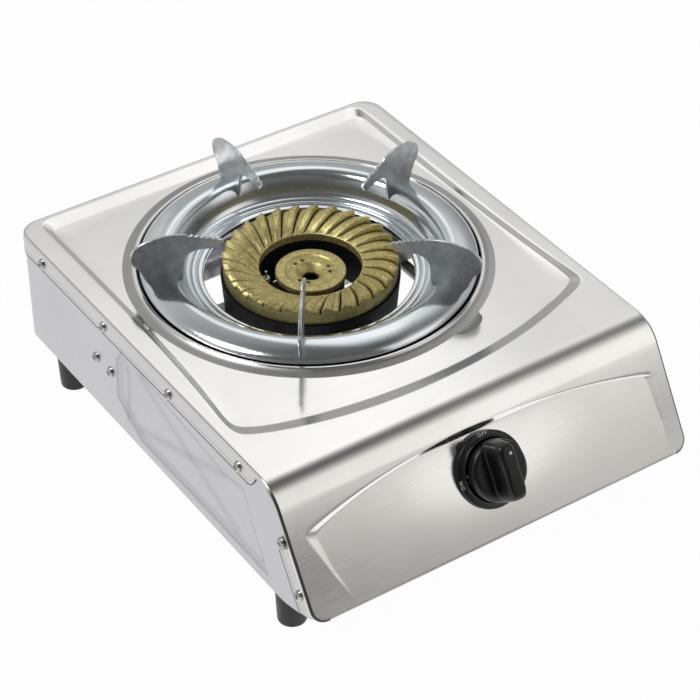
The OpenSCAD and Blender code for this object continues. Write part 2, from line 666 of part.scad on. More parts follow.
// Centre cap: a dished disc with a funnel in the middle and three pairs of small holes
cap_land = 6.3;
dish_depth = 1;
dish_z = -centre_cap_top - dish_depth;
funnel_r = 9.5;
funnel_depth = 7;
cap_plate = 2.2;
small_hole_r = 1.2;
small_hole_pcr = 13.2;
small_hole_split = 9;
small_hole_a = [93, 210, 335];
spigot_gap = 0.4;
cap_spigot_r = cup_r - cast_wall - spigot_gap;
cap_spigot_h = 3;
cap_wall = 2;
cap_edge = 0.6;
cap_blend = 1;
module burner_cap_centre() color([0.74, 0.66, 0.4]) at_burner() difference() {
  rotate_extrude($fn = fine) polygon([
    [centre_bore_r, -centre_cap_top - funnel_depth], [funnel_r, dish_z - cap_edge],
    [funnel_r + cap_blend, dish_z], [centre_cap_r - cap_land - cap_blend, dish_z],
    [centre_cap_r - cap_land, -centre_cap_top], [centre_cap_r - cap_edge, -centre_cap_top],
    [centre_cap_r, -centre_cap_top - cap_edge], [centre_cap_r, -cup_top], [cap_spigot_r, -cup_top],
    [cap_spigot_r, -cup_top - cap_spigot_h], [cap_spigot_r - cap_wall, -cup_top - cap_spigot_h],
    [cap_spigot_r - cap_wall, dish_z - cap_plate], [funnel_r + cap_blend, dish_z - cap_plate],
    [centre_bore_r + cap_blend, -centre_cap_top - funnel_depth - cap_blend],
    [centre_bore_r, -centre_cap_top - funnel_depth - cap_blend]]);
  for (a = small_hole_a) for (s = [-1, 1]) rotate([0, 0, a + s * small_hole_split])
    translate([small_hole_pcr, 0, -2 * cup_top]) cylinder(2 * cup_top, r = small_hole_r, $fn = 24);
}

// Air shutters: sleeves that turn on the mixing tubes' mouths
lever_l = 11;
lever_w = 5;
sleeve_mid_r = tube_r + run_clear + shutter_t / 2;
lever_z = window_h / 2 + shutter_t;
module air_shutter(i, side) at_burner()
  translate([tube_x[i], shutter_y, -tube_depth]) {
    difference() {
      rotate([90, 0, 0]) cylinder(shutter_l, r = tube_r + run_clear + shutter_t, center = true);
      rotate([90, 0, 0]) cylinder(shutter_l + over, r = tube_r + run_clear, center = true);
      cube([3 * tube_r, window_l, window_h], center = true);
    }
    translate([side * (sqrt(pow(sleeve_mid_r, 2) - pow(lever_z, 2)) + lever_l / 2), 0, lever_z])
      cube([lever_l, lever_w, shutter_t], center = true);
  }
module air_shutter_ring() color("silver") air_shutter(0, 1);
module air_shutter_centre() color("silver") air_shutter(1, -1);

// Spark electrode: a ceramic rod in the casting's web with a wire pin in it
ceramic_l = 30;
ceramic_top = -15.5;
ceramic_foot = ceramic_top - ceramic_l;
ceramic_collar = 1.6;
collar_t = 2;
pin_r = 0.9;
pin_top = -10.5;
electrode_x = electrode_r * cos(electrode_a);
electrode_y = electrode_r * sin(electrode_a) - burner_fwd;
module at_electrode() place() translate([electrode_x, electrode_y, 0]) children();
module igniter_ceramic() color("white") at_electrode() difference() {
  union() {
    translate([0, 0, ceramic_foot]) cylinder(ceramic_l, r = ceramic_r);
    translate([0, 0, -head_base + 2 * floor_t]) cylinder(collar_t, r = ceramic_r + ceramic_collar);
  }
  translate([0, 0, ceramic_foot - over]) cylinder(ceramic_l + 2 * over, r = pin_r + run_clear);
}
pin_flange_t = 1;
module igniter_pin() color("gray") at_electrode() {
  translate([0, 0, ceramic_foot - pin_flange_t]) cylinder(pin_top - ceramic_foot + pin_flange_t, r = pin_r);
  translate([0, 0, ceramic_foot - pin_flange_t]) cylinder(pin_flange_t, r = 2 * pin_r);
}

// Igniter lead: held at both ends, swept along points chosen by hand
lead_r = 1.5;
piezo_side = 25;
piezo_back = 5.5;
piezo_drop = 6;
piezo_x = -centre_tube_x - piezo_side;
piezo_y = bend_y + piezo_back;
piezo_z = -tube_depth - piezo_drop;
lead_seat = 6;
lead_middle = [[-27, 12, -60], [-34, 2, -66], [-44, -16, -70], [-50, -40, -71], [-52, -70, -71],
  [-52, -100, -71], [-52, -126, -70], [-50, -140, -67], [-46, -148, -62], [-40.5, -154.5, -57],
  [-38, -160, -55]];
lead_start = ceramic_foot - pin_flange_t;
lead_route = concat([for (drop = [0, 5]) [electrode_x, electrode_y, lead_start - drop]], lead_middle,
  [[piezo_x, piezo_y + lead_seat, piezo_z]]);
lead_up = [0.3, 0.1, 0.9];
function tangent(p, i) = toward(p[max(i - 1, 0)], p[min(i + 1, len(p) - 1)]);
function ring_at(p, i, r, n) =
  let (t = tangent(p, i), u = toward([0, 0, 0], cross(t, lead_up)), v = cross(t, u))
  [for (k = [0:n - 1]) p[i] + r * (cos(360 * k / n) * u + sin(360 * k / n) * v)];
module swept(p, r, n) {
  m = len(p);
  polyhedron([for (i = [0:m - 1]) each ring_at(p, i, r, n)], concat(
    [[for (k = [0:n - 1]) k]], [[for (k = [n - 1:-1:0]) (m - 1) * n + k]],
    [for (i = [0:m - 2]) for (k = [0:n - 1]) let (a = i * n + k, b = i * n + (k + 1) % n) [a, a + n, b + n]],
    [for (i = [0:m - 2]) for (k = [0:n - 1]) let (a = i * n + k, b = i * n + (k + 1) % n) [a, b + n, b]]));
}
module igniter_lead() color([0.6, 0.1, 0.1]) place() swept(lead_route, lead_r, 8);

piezo_r = 8;
piezo_l = 26;
piezo_tab = 3;
module piezo_igniter() color([0.1, 0.1, 0.12]) place() difference() {
  union() {
    translate([piezo_x, piezo_y - piezo_l / 2, piezo_z]) rotate([-90, 0, 0]) cylinder(piezo_l, r = piezo_r);
    translate([piezo_x, piezo_y - piezo_tab, piezo_z - piezo_tab])
      cube([block_x[0] - piezo_x, 2 * piezo_tab, 2 * piezo_tab]);
  }
  translate([piezo_x, piezo_y + lead_seat, piezo_z]) rotate([-90, 0, 0])
    cylinder(piezo_l, r = lead_r + run_clear);
}

// Gas valve: an inclined barrel for the plug and a block that feeds the two jets
block_side = 13;
block_edge = 7;
block_back = 11.5;
block_t = 16;
block_x = [-centre_tube_x - block_side, ring_tube_x + block_side];
block_y = [bend_y + block_back - block_t, bend_y + block_back];
block_z = [-pipe_depth - block_edge, -tube_depth + block_edge];
barrel_r = 12;
plate_z = -pad_depth - sheet_t;
plate_t = 1.5;
valve_top = plate_z - plate_t;
valve_flange_t = 4;
barrel_l = 40;
plug_top = -14;
plug_l = 26;
plug_r1 = 6;
plug_r2 = 8;
plug_floor = plug_top - plug_l;
plug_port = 6;
plug_port_r = 2;
valve_flange_w = 14;
valve_ear = 4;
jet_r = 4.5;
jet_l = 20;
jet_thread = 6;
jet_hex = 6;
jet_thread_r = 3.6;
port_depth = 8;
module valve_screw_holes() both_sides() translate([valve_screw_x, 0, 0])
  cylinder(8 * plug_port, r = valve_screw_r + hole_clear, center = true);
module gas_valve() color([0.75, 0.7, 0.5]) place() difference() {
  union() {
    on_slope(knob_slope) translate([0, 0, valve_top - barrel_l])
      cylinder(plug_top + barrel_l - valve_top, r = barrel_r);
    difference() {
      translate([block_x[0], block_y[0], block_z[0]])
        cube([block_x[1] - block_x[0], block_y[1] - block_y[0], block_z[1] - block_z[0]]);
      on_slope(knob_slope) translate([0, 0, plug_top]) cylinder(barrel_l, r = 2 * barrel_r);
    }
  }
  on_slope(knob_slope) translate([0, 0, plug_floor - run_clear])
    cylinder(plug_l + 2 * run_clear, r1 = plug_r1 + run_clear, r2 = plug_r2 + run_clear);
  for (x = tube_x) translate([x, block_y[1], -tube_depth]) rotate([-90, 0, 0]) {
    translate([0, 0, -jet_thread]) cylinder(jet_l, r = jet_thread_r);
    cylinder(jet_l, r = jet_r + run_clear);
  }
  translate([block_x[1] - port_depth, (block_y[0] + block_y[1]) / 2, -pipe_depth]) rotate([0, 90, 0])
    cylinder(2 * port_depth, r = pipe_r + run_clear);
}
// The valve's cap closes the barrel over the plug and carries the two ears
module valve_cap() color([0.78, 0.72, 0.5]) place() on_slope(knob_slope) difference() {
  union() {
    translate([0, 0, plug_top]) cylinder(valve_top - plug_top, r = barrel_r);
    translate([-valve_screw_x - valve_ear, -valve_flange_w / 2, valve_top - valve_flange_t])
      cube([2 * (valve_screw_x + valve_ear), valve_flange_w, valve_flange_t]);
  }
  translate([0, 0, plug_top - over]) cylinder(-plug_top, r = spindle_r + run_clear);
  valve_screw_holes();
}
socket_l = 14;
tail_r = 2.9;
module valve_plug() color([0.8, 0.72, 0.45]) place() on_slope(knob_slope) difference() {
  translate([0, 0, plug_floor]) cylinder(plug_l, r1 = plug_r1, r2 = plug_r2);
  translate([0, 0, plug_top - socket_l]) cylinder(socket_l + over, r = tail_r + run_clear);
  translate([0, 0, plug_floor + plug_port]) rotate([0, 90, 0])
    cylinder(4 * plug_r2, r = plug_port_r, center = true);
}

// Jets: hexagon bodies with a fine hole, screwed into the block
jet_hole_r = 0.45;
jet_bore_r = 2;
jet_neck_r = 3.4;
jet_tip_r = 1.8;
jet_tip = 4;
jet_end = 2;
module nozzle(x) color([0.85, 0.72, 0.35]) place() translate([x, block_y[1], -tube_depth]) rotate([-90, 0, 0])
  difference() {
    union() {
      translate([0, 0, -jet_thread + mesh_clear]) cylinder(jet_thread, r = jet_thread_r - run_clear);
      cylinder(jet_hex, r = jet_r, $fn = 6);
      cylinder(jet_l - jet_tip - jet_end, r = jet_neck_r);
      translate([0, 0, jet_l - jet_tip - jet_end]) cylinder(jet_tip, r1 = jet_neck_r, r2 = jet_tip_r);
    }
    translate([0, 0, -jet_thread]) cylinder(jet_l - jet_end, r = jet_bore_r);
    cylinder(jet_l, r = jet_hole_r, $fn = 16);
  }
module nozzle_ring() nozzle(tube_x[0]);
module nozzle_centre() nozzle(tube_x[1]);

// Valve bracket: clamped behind the slope, with a shelf that carries the front leg of the burner
valve_plate_w = 54;
valve_plate_up = 20;
shelf_margin = 4;
shelf_back = -leg_y + leg_w + shelf_margin;
bracket_hole_r = 11;
leg_screw_r = 2;
leg_screw_l = 9;
shelf_bend = knob_slope + (-shelf_z - knob_slope * sin(slope_a)) / sin(slope_a);
function plate_point(down, out) =
  [bend_y - down * cos(slope_a) - out * sin(slope_a), -down * sin(slope_a) + out * cos(slope_a)];
module valve_bracket() color("silver") place() difference() {
  across(valve_plate_w, [
    for (z = [plate_z, plate_z - plate_t]) plate_point(knob_slope - valve_plate_up, z),
    plate_point(shelf_bend - plate_t, plate_z - plate_t),
    [plate_point(shelf_bend, plate_z)[0] + 3 * plate_t, shelf_z],
    [shelf_back, shelf_z], [shelf_back, shelf_z - plate_t],
    [plate_point(shelf_bend, plate_z)[0] + 2 * plate_t, shelf_z - plate_t],
    plate_point(shelf_bend, plate_z)]);
  on_slope(knob_slope) {
    cylinder(8 * pad_depth, r = bracket_hole_r, center = true);
    valve_screw_holes();
  }
  leg_screw_place() cylinder(4 * leg_screw_l, r = leg_screw_r + hole_clear, center = true);
}
module leg_screw_place()
  translate([(ring_tube_x - centre_tube_x) / 2, -leg_y + leg_w / 2 - burner_fwd, shelf_z - plate_t])
    rotate([180, 0, 0]) children();
module leg_screw() color("silver") place() leg_screw_place()
  screw(leg_screw_r, leg_screw_l, 2 * leg_screw_r, leg_screw_r);

// Dial ring, held with the valve by two screws
dial_t = 3.5;
dial_edge = 1;
dial_bore_r = 13;
dial_face = dial_t - pad_depth;
valve_screw_l = 11;
valve_head_r = 2.6;
module valve_screws() color("silver") place() on_slope(knob_slope) both_sides()
  translate([valve_screw_x, 0, dial_face - valve_screw_r])
    screw(valve_screw_r, valve_screw_l, valve_head_r, valve_screw_r);

module dial_ring() color([0.06, 0.06, 0.06]) place() on_slope(knob_slope) difference() {
  translate([0, 0, -pad_depth]) rotate_extrude($fn = fine) polygon([
    [dial_bore_r, 0], [dial_r, 0], [dial_r, dial_t - dial_edge], [dial_r - dial_edge, dial_t],
    [dial_bore_r, dial_t]]);
  valve_screw_holes();
  both_sides() translate([valve_screw_x, 0, dial_face - valve_screw_r])
    cylinder(dial_t, r = valve_head_r + hole_clear);
}

// Spindle, spring washer and spring under the knob
knob_base = 5;
knob_crown = 6;
spindle_top = knob_reach - knob_crown;
spindle_gap = 1;
spindle_foot = plug_top + push_travel + spindle_gap;
spindle_flat = 2.4;
flat_from = 2;
collar_r = 5.4;
collar_h = 1;
washer_t = 1.5;
washer_top = knob_base - collar_h;
washer_r = 7;
tail_l = 12;
module valve_spindle() color("silver") place() on_slope(knob_slope) difference() {
  union() {
    translate([0, 0, spindle_foot]) cylinder(spindle_top - spindle_foot, r = spindle_r);
    translate([0, 0, spindle_foot - tail_l]) cylinder(tail_l + over, r = tail_r);
    translate([0, 0, washer_top]) cylinder(collar_h, r = collar_r);
  }
  translate([-spindle_r, spindle_flat, knob_base + flat_from]) cube([2 * spindle_r, spindle_r, spindle_top]);
}
module spring_washer() color("silver") place() on_slope(knob_slope) difference() {
  translate([0, 0, washer_top - washer_t]) cylinder(washer_t, r = washer_r);
  cylinder(4 * knob_base, r = spindle_r + run_clear, center = true);
}
spring_r = 6.4;
spring_wire = 1.2;
module spindle_spring() color("silver") place() on_slope(knob_slope) difference() {
  translate([0, 0, valve_top]) cylinder(washer_top - washer_t - valve_top, r = spring_r);
  cylinder(6 * knob_base, r = spring_r - spring_wire, center = true);
}

// Knob: a round skirt with a waisted grip bar across it
skirt_h = 7.5;
grip_w = 11;
grip_waist = 8.5;
waist_r = 46;
hub_r = 7.5;
knob_wall = 2;
skirt_round = [[0, 2.5], [0.8, 0.8], [3, 0]];
grip_round = [[0, 3], [1, 0.6], [3, 0]];
// A disc of the knob's radius whose upper edge is drawn in by the given steps
module turned(steps, h) translate([0, 0, knob_base]) rotate_extrude($fn = fine)
  polygon([[0, 0], [knob_r, 0], for (p = steps) [knob_r - p[0], h - p[1]], [0, h]]);
module knob() color([0.06, 0.06, 0.06]) place() on_slope(knob_slope) difference() {
  union() {
    turned(skirt_round, skirt_h);
    intersection() {
      turned(grip_round, knob_reach - knob_base);
      difference() {
        translate([-grip_w / 2, -knob_r - over, knob_base]) cube([grip_w, 2 * (knob_r + over), knob_reach]);
        both_sides() translate([grip_waist / 2 + waist_r, 0, 0])
          cylinder(2 * knob_reach, r = waist_r, $fn = fine);
      }
    }
  }
  difference() {
    translate([0, 0, knob_base - over]) cylinder(skirt_h - knob_wall + over, r = knob_r - knob_wall);
    translate([0, 0, knob_base - 2 * over]) cylinder(skirt_h + 2 * over, r = hub_r);
  }
  difference() {
    translate([0, 0, knob_base - over]) cylinder(spindle_top - knob_base + over, r = spindle_r + run_clear);
    translate([-spindle_r * 2, spindle_flat + run_clear, knob_base + flat_from + run_clear])
      cube([4 * spindle_r, spindle_r, spindle_top]);
  }
}

// Feed pipe: from the valve block's side to the rear inlet, with one bend
pipe_bend_r = 16;
pipe_start_y = (block_y[0] + block_y[1]) / 2;
pipe_wall = 1;
nipple_in = 9;
pipe_end_y = back_y - 3 * sheet_t - nipple_in;
pipe_in = 5;
pipe_from_x = block_x[1] - pipe_in;
module pipe_run(r) {
  translate([pipe_from_x, pipe_start_y, -pipe_depth]) rotate([0, 90, 0])
    cylinder(pipe_x - pipe_bend_r - pipe_from_x, r = r);
  translate([pipe_x - pipe_bend_r, pipe_start_y + pipe_bend_r, -pipe_depth]) rotate([0, 0, -90])
    rotate_extrude(angle = 90) translate([pipe_bend_r, 0]) circle(r);
  translate([pipe_x, pipe_start_y + pipe_bend_r, -pipe_depth]) rotate([-90, 0, 0])
    cylinder(pipe_end_y - pipe_start_y - pipe_bend_r, r = r);
}
module feed_pipe() color([0.7, 0.45, 0.3]) place() difference() {
  pipe_run(pipe_r);
  pipe_run(pipe_r - pipe_wall);
}
nut_l = 9;
nut_r = 7.5;
module pipe_nuts() color([0.8, 0.7, 0.4]) place() {
  translate([block_x[1], pipe_start_y, -pipe_depth]) rotate([0, 90, 0]) difference() {
    cylinder(nut_l, r = nut_r, $fn = 6);
    translate([0, 0, -over]) cylinder(nut_l + 2 * over, r = pipe_r + run_clear);
  }
  translate([pipe_x, pipe_end_y, -pipe_depth]) rotate([90, 0, 0]) difference() {
    cylinder(nut_l, r = nut_r, $fn = 6);
    translate([0, 0, -over]) cylinder(nut_l + 2 * over, r = pipe_r + run_clear);
  }
}

// Hose inlet: a threaded body through the rear panel with a hexagon and a plain spigot
nipple_r = nipple_hole_r - hole_clear;
hex_r = 9;
hex_l = 5;
bead_r = 1.2;
bead_l = 3;
bore_r = 3;
module inlet_nipple() color([0.8, 0.7, 0.4]) place()
  translate([pipe_x, back_y - rear_o, -pipe_depth]) rotate([-90, 0, 0]) difference() {
    union() {
      translate([0, 0, -sheet_t - nipple_in]) cylinder(sheet_t + nipple_in + over, r = nipple_r);
      cylinder(hex_l + rear_o, r = hex_r, $fn = 6);
      translate([0, 0, hex_l + rear_o]) {
        cylinder(bead_l, r1 = spigot_r + bead_r, r2 = spigot_r + bead_r / 2);
        cylinder(bead_l + spigot_l, r = spigot_r);
      }
    }
    translate([0, 0, -2 * nipple_in]) cylinder(4 * nipple_in + spigot_l, r = bore_r);
  }
lock_nut_l = 5;
lock_nut_r = 10;
module inlet_nut() color([0.8, 0.7, 0.4]) place()
  translate([pipe_x, back_y - rear_o - sheet_t, -pipe_depth]) rotate([90, 0, 0]) difference() {
    cylinder(lock_nut_l, r = lock_nut_r, $fn = 6);
    translate([0, 0, -over]) cylinder(lock_nut_l + 2 * over, r = nipple_r + run_clear);
  }

// How far the stove reaches forward and back, for centring its footprint
front_reach = plate_point(knob_slope, knob_reach - grip_round[1][1])[0]
  - (knob_r - grip_round[1][0]) * cos(slope_a);
rear_reach = back_y + hex_l + bead_l + spigot_l;

top_cover();
side_panel_left();
side_panel_right();
rear_panel();
cover_screws();
bracket_screws();
rear_screws();
burner_bracket();
burner_screws();
foot_front_left();
foot_front_right();
foot_rear_left();
foot_rear_right();
foot_screws();
pan_ring();
pan_fin(0);  // pan_fin_1
pan_fin(1);  // pan_fin_2
pan_fin(2);  // pan_fin_3
pan_fin(3);  // pan_fin_4
pan_fin(4);  // pan_fin_5
burner_body();
burner_cap_ring();
burner_cap_centre();
air_shutter_ring();
air_shutter_centre();
igniter_ceramic();
igniter_pin();
igniter_lead();
piezo_igniter();
gas_valve();
valve_cap();
valve_plug();
nozzle_ring();
nozzle_centre();
valve_bracket();
valve_screws();
leg_screw();
valve_spindle();
spindle_spring();
spring_washer();
dial_ring();
knob();
feed_pipe();
pipe_nuts();
inlet_nipple();
inlet_nut();
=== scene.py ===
import math

import bpy
import bmesh
import numpy as np
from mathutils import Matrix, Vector


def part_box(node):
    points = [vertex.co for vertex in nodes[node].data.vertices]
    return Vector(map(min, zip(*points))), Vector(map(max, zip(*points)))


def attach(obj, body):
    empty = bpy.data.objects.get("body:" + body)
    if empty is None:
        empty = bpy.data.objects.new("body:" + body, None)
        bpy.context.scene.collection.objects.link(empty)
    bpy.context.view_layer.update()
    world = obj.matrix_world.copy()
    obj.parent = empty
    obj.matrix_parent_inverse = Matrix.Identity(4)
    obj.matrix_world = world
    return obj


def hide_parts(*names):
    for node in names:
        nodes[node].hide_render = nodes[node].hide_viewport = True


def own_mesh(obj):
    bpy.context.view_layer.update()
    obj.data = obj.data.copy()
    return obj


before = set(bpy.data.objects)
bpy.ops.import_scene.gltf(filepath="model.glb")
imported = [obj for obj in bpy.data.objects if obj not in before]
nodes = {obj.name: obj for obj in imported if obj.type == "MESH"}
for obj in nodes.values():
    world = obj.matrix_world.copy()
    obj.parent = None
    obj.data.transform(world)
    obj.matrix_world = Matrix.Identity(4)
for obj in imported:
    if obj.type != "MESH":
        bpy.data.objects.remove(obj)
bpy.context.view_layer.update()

scene = bpy.context.scene

# Lengths below are millimetres from the pan ring's axis and the flat top, as on the drawing
rimHeight = 0.6
ringLo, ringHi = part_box("pan_ring")
coverLo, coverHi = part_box("top_cover")
axisY = (ringLo.y + ringHi.y) * 500
flatTop = coverHi.z * 1000 - rimHeight
halfW = (coverHi.x - coverLo.x) * 500


def toMetres(points):
    # From the drawing to the scene: moved by the axis and the flat top, then divided by 1000
    return (np.asarray(points, dtype=float) + np.array([0, axisY, flatTop])) / 1000


def linear(code):
    # sRGB hex to linear light: c/12.92 below 0.04045, else ((c + 0.055)/1.055)^2.4
    out = []
    for i in (0, 2, 4):
        c = int(code[i:i + 2], 16) / 255
        out.append(c / 12.92 if c <= 0.04045 else ((c + 0.055) / 1.055) ** 2.4)
    return (*out, 1)


def smooth(t):
    # Eased step from 0 to 1: three t squared less two t cubed
    t = np.clip(t, 0, 1)
    return t * t * (3 - 2 * t)


def curveThrough(points, n):
    # Catmull-Rom curve: half of 2b + (c - a)t + (2a - 5b + 4c - d)t^2 + (3b - a - 3c + d)t^3 on each span
    p = np.asarray(points, dtype=float)
    q = np.vstack([2 * p[0] - p[1], p, 2 * p[-1] - p[-2]])
    t = (np.arange(n) / n)[:, None]
    a, b, c, d = [q[i:len(q) - 3 + i, None] for i in range(4)]
    spans = 0.5 * (2 * b + (c - a) * t + (2 * a - 5 * b + 4 * c - d) * t * t
                   + (3 * b - a - 3 * c + d) * t ** 3)
    return np.vstack([spans.reshape(-1, p.shape[1]), p[-1:]])


def gridFaces(rows, cols, loop=False, wrap=False):
    # Quads of a grid of rows x cols points; loop joins the last column to the first, wrap the last row
    r = np.arange(rows if wrap else rows - 1)
    c = np.arange(cols if loop else cols - 1)
    r, c = np.meshgrid(r, c, indexing="ij")
    r2, c2 = (r + 1) % rows, (c + 1) % cols
    quads = np.stack([r * cols + c, r * cols + c2, r2 * cols + c2, r2 * cols + c], axis=-1)
    return quads.reshape(-1, 4).tolist()


def revolve(profile, n, wrap=False):
    # Turns (r, z) points about the axis in n steps: x = r cos a, y = r sin a
    p = np.asarray(profile, dtype=float)
    a = np.linspace(0, 2 * np.pi, n, endpoint=False)
    x = p[:, 0][:, None] * np.cos(a)
    y = p[:, 0][:, None] * np.sin(a)
    z = np.repeat(p[:, 1][:, None], n, axis=1)
    return np.stack([x, y, z], axis=-1).reshape(-1, 3), gridFaces(len(p), n, True, wrap)


class Shape:
    # Collects points and faces of one piece; shade is painted shade, 0 for bare metal, 0.5 for dull grey, 1
    # for black
    def __init__(self):
        self.points, self.faces, self.shades, self.count = [], [], [], 0

    def add(self, points, faces, shade=0.0):
        points = np.asarray(points, dtype=float).reshape(-1, 3)
        self.points.append(points)
        self.shades.append(np.broadcast_to(np.asarray(shade, dtype=float).ravel(), len(points)))
        self.faces += [[i + self.count for i in f] for f in faces]
        self.count += len(points)
        return self


def makePiece(name, shape, material, body, hides=(), sharp=35, up=None, weld=0.002, drop=None):
    # The shape as a finished object: welded, turned outwards, smooth up to the sharp angle, on its body
    mesh = bpy.data.meshes.new(name)
    mesh.from_pydata(toMetres(np.vstack(shape.points)).tolist(), [], shape.faces)
    tone = mesh.attributes.new("shade", "FLOAT", "POINT")
    tone.data.foreach_set("value", np.concatenate(shape.shades).astype(np.float32))
    bm = bmesh.new()
    bm.from_mesh(mesh)
    bmesh.ops.remove_doubles(bm, verts=bm.verts, dist=weld / 1000)
    bmesh.ops.dissolve_degenerate(bm, edges=bm.edges, dist=weld / 2000)
    if drop:
        dropped = [f for f in bm.faces if drop(f.calc_center_median() * 1000)]
        bmesh.ops.delete(bm, geom=dropped, context="FACES")
    bmesh.ops.recalc_face_normals(bm, faces=bm.faces)
    if up is not None:
        # The face nearest to the given place must look the given way
        place, way = Vector(toMetres(up[0])), Vector(up[1])
        near = min(bm.faces, key=lambda f: (f.calc_center_median() - place).length)
        if near.normal.dot(way) < 0:
            bmesh.ops.reverse_faces(bm, faces=bm.faces)
    bm.to_mesh(mesh)
    bm.free()
    mesh.shade_smooth()
    mesh.set_sharp_from_angle(angle=math.radians(sharp))
    mesh.materials.append(material)
    piece = bpy.data.objects.new(name, mesh)
    scene.collection.objects.link(piece)
    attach(piece, body)
    if hides:
        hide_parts(*hides)
    return piece


def thicken(piece, wall):
    # The drawn sheet is the outer face, so the wall grows inwards
    solid = piece.modifiers.new("wall", "SOLIDIFY")
    solid.thickness = wall / 1000
    solid.offset = -1


# Materials
def addNode(tree, kind, values=None, **settings):
    # A value that is a pair (node, output) becomes a link
    n = tree.nodes.new(kind)
    for key, value in settings.items():
        setattr(n, key, value)
    for key, value in (values or {}).items():
        if isinstance(value, tuple) and len(value) == 2 and hasattr(value[0], "outputs"):
            tree.links.new(value[0].outputs[value[1]], n.inputs[key])
        else:
            n.inputs[key].default_value = value
    return n


def newMaterial(name):
    # The material, its node tree and its shader
    m = bpy.data.materials.new(name)
    m.use_nodes = True
    return m, m.node_tree, m.node_tree.nodes["Principled BSDF"]


def ramp(tree, source, output, stops):
    # Colour by a value: each stop is a place and a colour, or one number for a grey
    r = addNode(tree, "ShaderNodeValToRGB", {0: (source, output)})
    while len(r.color_ramp.elements) < len(stops):
        r.color_ramp.elements.new(0.5)
    for e, (at, colour) in zip(r.color_ramp.elements, stops):
        e.position = at
        e.color = colour if isinstance(colour, tuple) else (colour, colour, colour, 1)
    return r


def mixColours(tree, first, second, share=1.0, kind="MULTIPLY"):
    # Sockets of a colour mix: 0 is the share, 6 and 7 are the colours, output 2 is the result
    values = {0: share, 6: first, 7: second}
    return addNode(tree, "ShaderNodeMix", values, data_type="RGBA", blend_type=kind), 2


def shadeOver(tree, colour):
    # Darkens a colour where the piece's own painted shade attribute says so
    tone = addNode(tree, "ShaderNodeAttribute", attribute_name="shade")
    level = ramp(tree, tone, 2, [(0, 1.0), (0.5, 0.42), (1, 0.02)])
    return mixColours(tree, colour, (level, 0))


def metalLook(name, base, dark, rough, spread, scale, stretch=(1, 1, 1), bump=0.02, speck=0.0, fine=2200,
              shaded=False, metal=1.0):
    # Clouded colour, brushed roughness and a fine bump
    # Scales are in cycles a metre: 1000 is a grain of 1 mm
    m, tree, shader = newMaterial(name)
    place = addNode(tree, "ShaderNodeTexCoord")
    stretched = addNode(tree, "ShaderNodeMapping", {0: (place, 3), 3: stretch})
    cloud = addNode(tree, "ShaderNodeTexNoise", {"Vector": (place, 3), "Scale": scale, "Detail": 5.0})
    brush = addNode(tree, "ShaderNodeTexNoise", {"Vector": (stretched, 0), "Scale": fine, "Detail": 3.0})
    last = (ramp(tree, cloud, 0, [(0.35, linear(dark)), (0.62, linear(base))]), 0)
    if speck:
        # Dark specks in the low spots of the grain
        grain = ramp(tree, brush, 0, [(0.38, 1.0 - speck), (0.6, 1.0)])
        last = mixColours(tree, last, (grain, 0))
    if shaded:
        last = shadeOver(tree, last)
    tree.links.new(last[0].outputs[last[1]], shader.inputs["Base Color"])
    levels = {0: (brush, 0), 1: 0.3, 2: 0.7, 3: rough - spread, 4: rough + spread}
    gloss = addNode(tree, "ShaderNodeMapRange", levels)
    if shaded:
        # Shaded places are also rougher, by 0.45 of their shade
        tone = addNode(tree, "ShaderNodeAttribute", attribute_name="shade")
        rougher = {0: (tone, 2), 1: 0.45, 2: (gloss, 0)}
        gloss = addNode(tree, "ShaderNodeMath", rougher, operation="MULTIPLY_ADD")
    tree.links.new(gloss.outputs[0], shader.inputs["Roughness"])
    shader.inputs["Metallic"].default_value = metal
    if bump:
        b = addNode(tree, "ShaderNodeBump", {"Strength": bump, "Distance": 0.0002, "Height": (brush, 0)})
        tree.links.new(b.outputs[0], shader.inputs["Normal"])
    return m


def softLook(name, base, light, rough, scale, bump=0.1, fine=3000, coat=0.0, shine=0.5):
    # Plastic, rubber, enamel and glaze: slight clouds of colour, a fine grain in the bump
    m, tree, shader = newMaterial(name)
    place = addNode(tree, "ShaderNodeTexCoord")
    cloud = addNode(tree, "ShaderNodeTexNoise", {"Vector": (place, 3), "Scale": scale, "Detail": 4.0})
    grain = addNode(tree, "ShaderNodeTexNoise", {"Vector": (place, 3), "Scale": fine, "Detail": 2.0})
    colour = ramp(tree, cloud, 0, [(0.35, linear(base)), (0.7, linear(light))])
    tree.links.new(colour.outputs[0], shader.inputs["Base Color"])
    levels = {0: (cloud, 0), 1: 0.3, 2: 0.7, 3: rough * 0.85, 4: rough * 1.15}
    gloss = addNode(tree, "ShaderNodeMapRange", levels)
    tree.links.new(gloss.outputs[0], shader.inputs["Roughness"])
    b = addNode(tree, "ShaderNodeBump", {"Strength": bump, "Distance": 0.0002, "Height": (grain, 0)})
    tree.links.new(b.outputs[0], shader.inputs["Normal"])
    shader.inputs["Coat Weight"].default_value = coat
    shader.inputs["Specular IOR Level"].default_value = shine
    return m


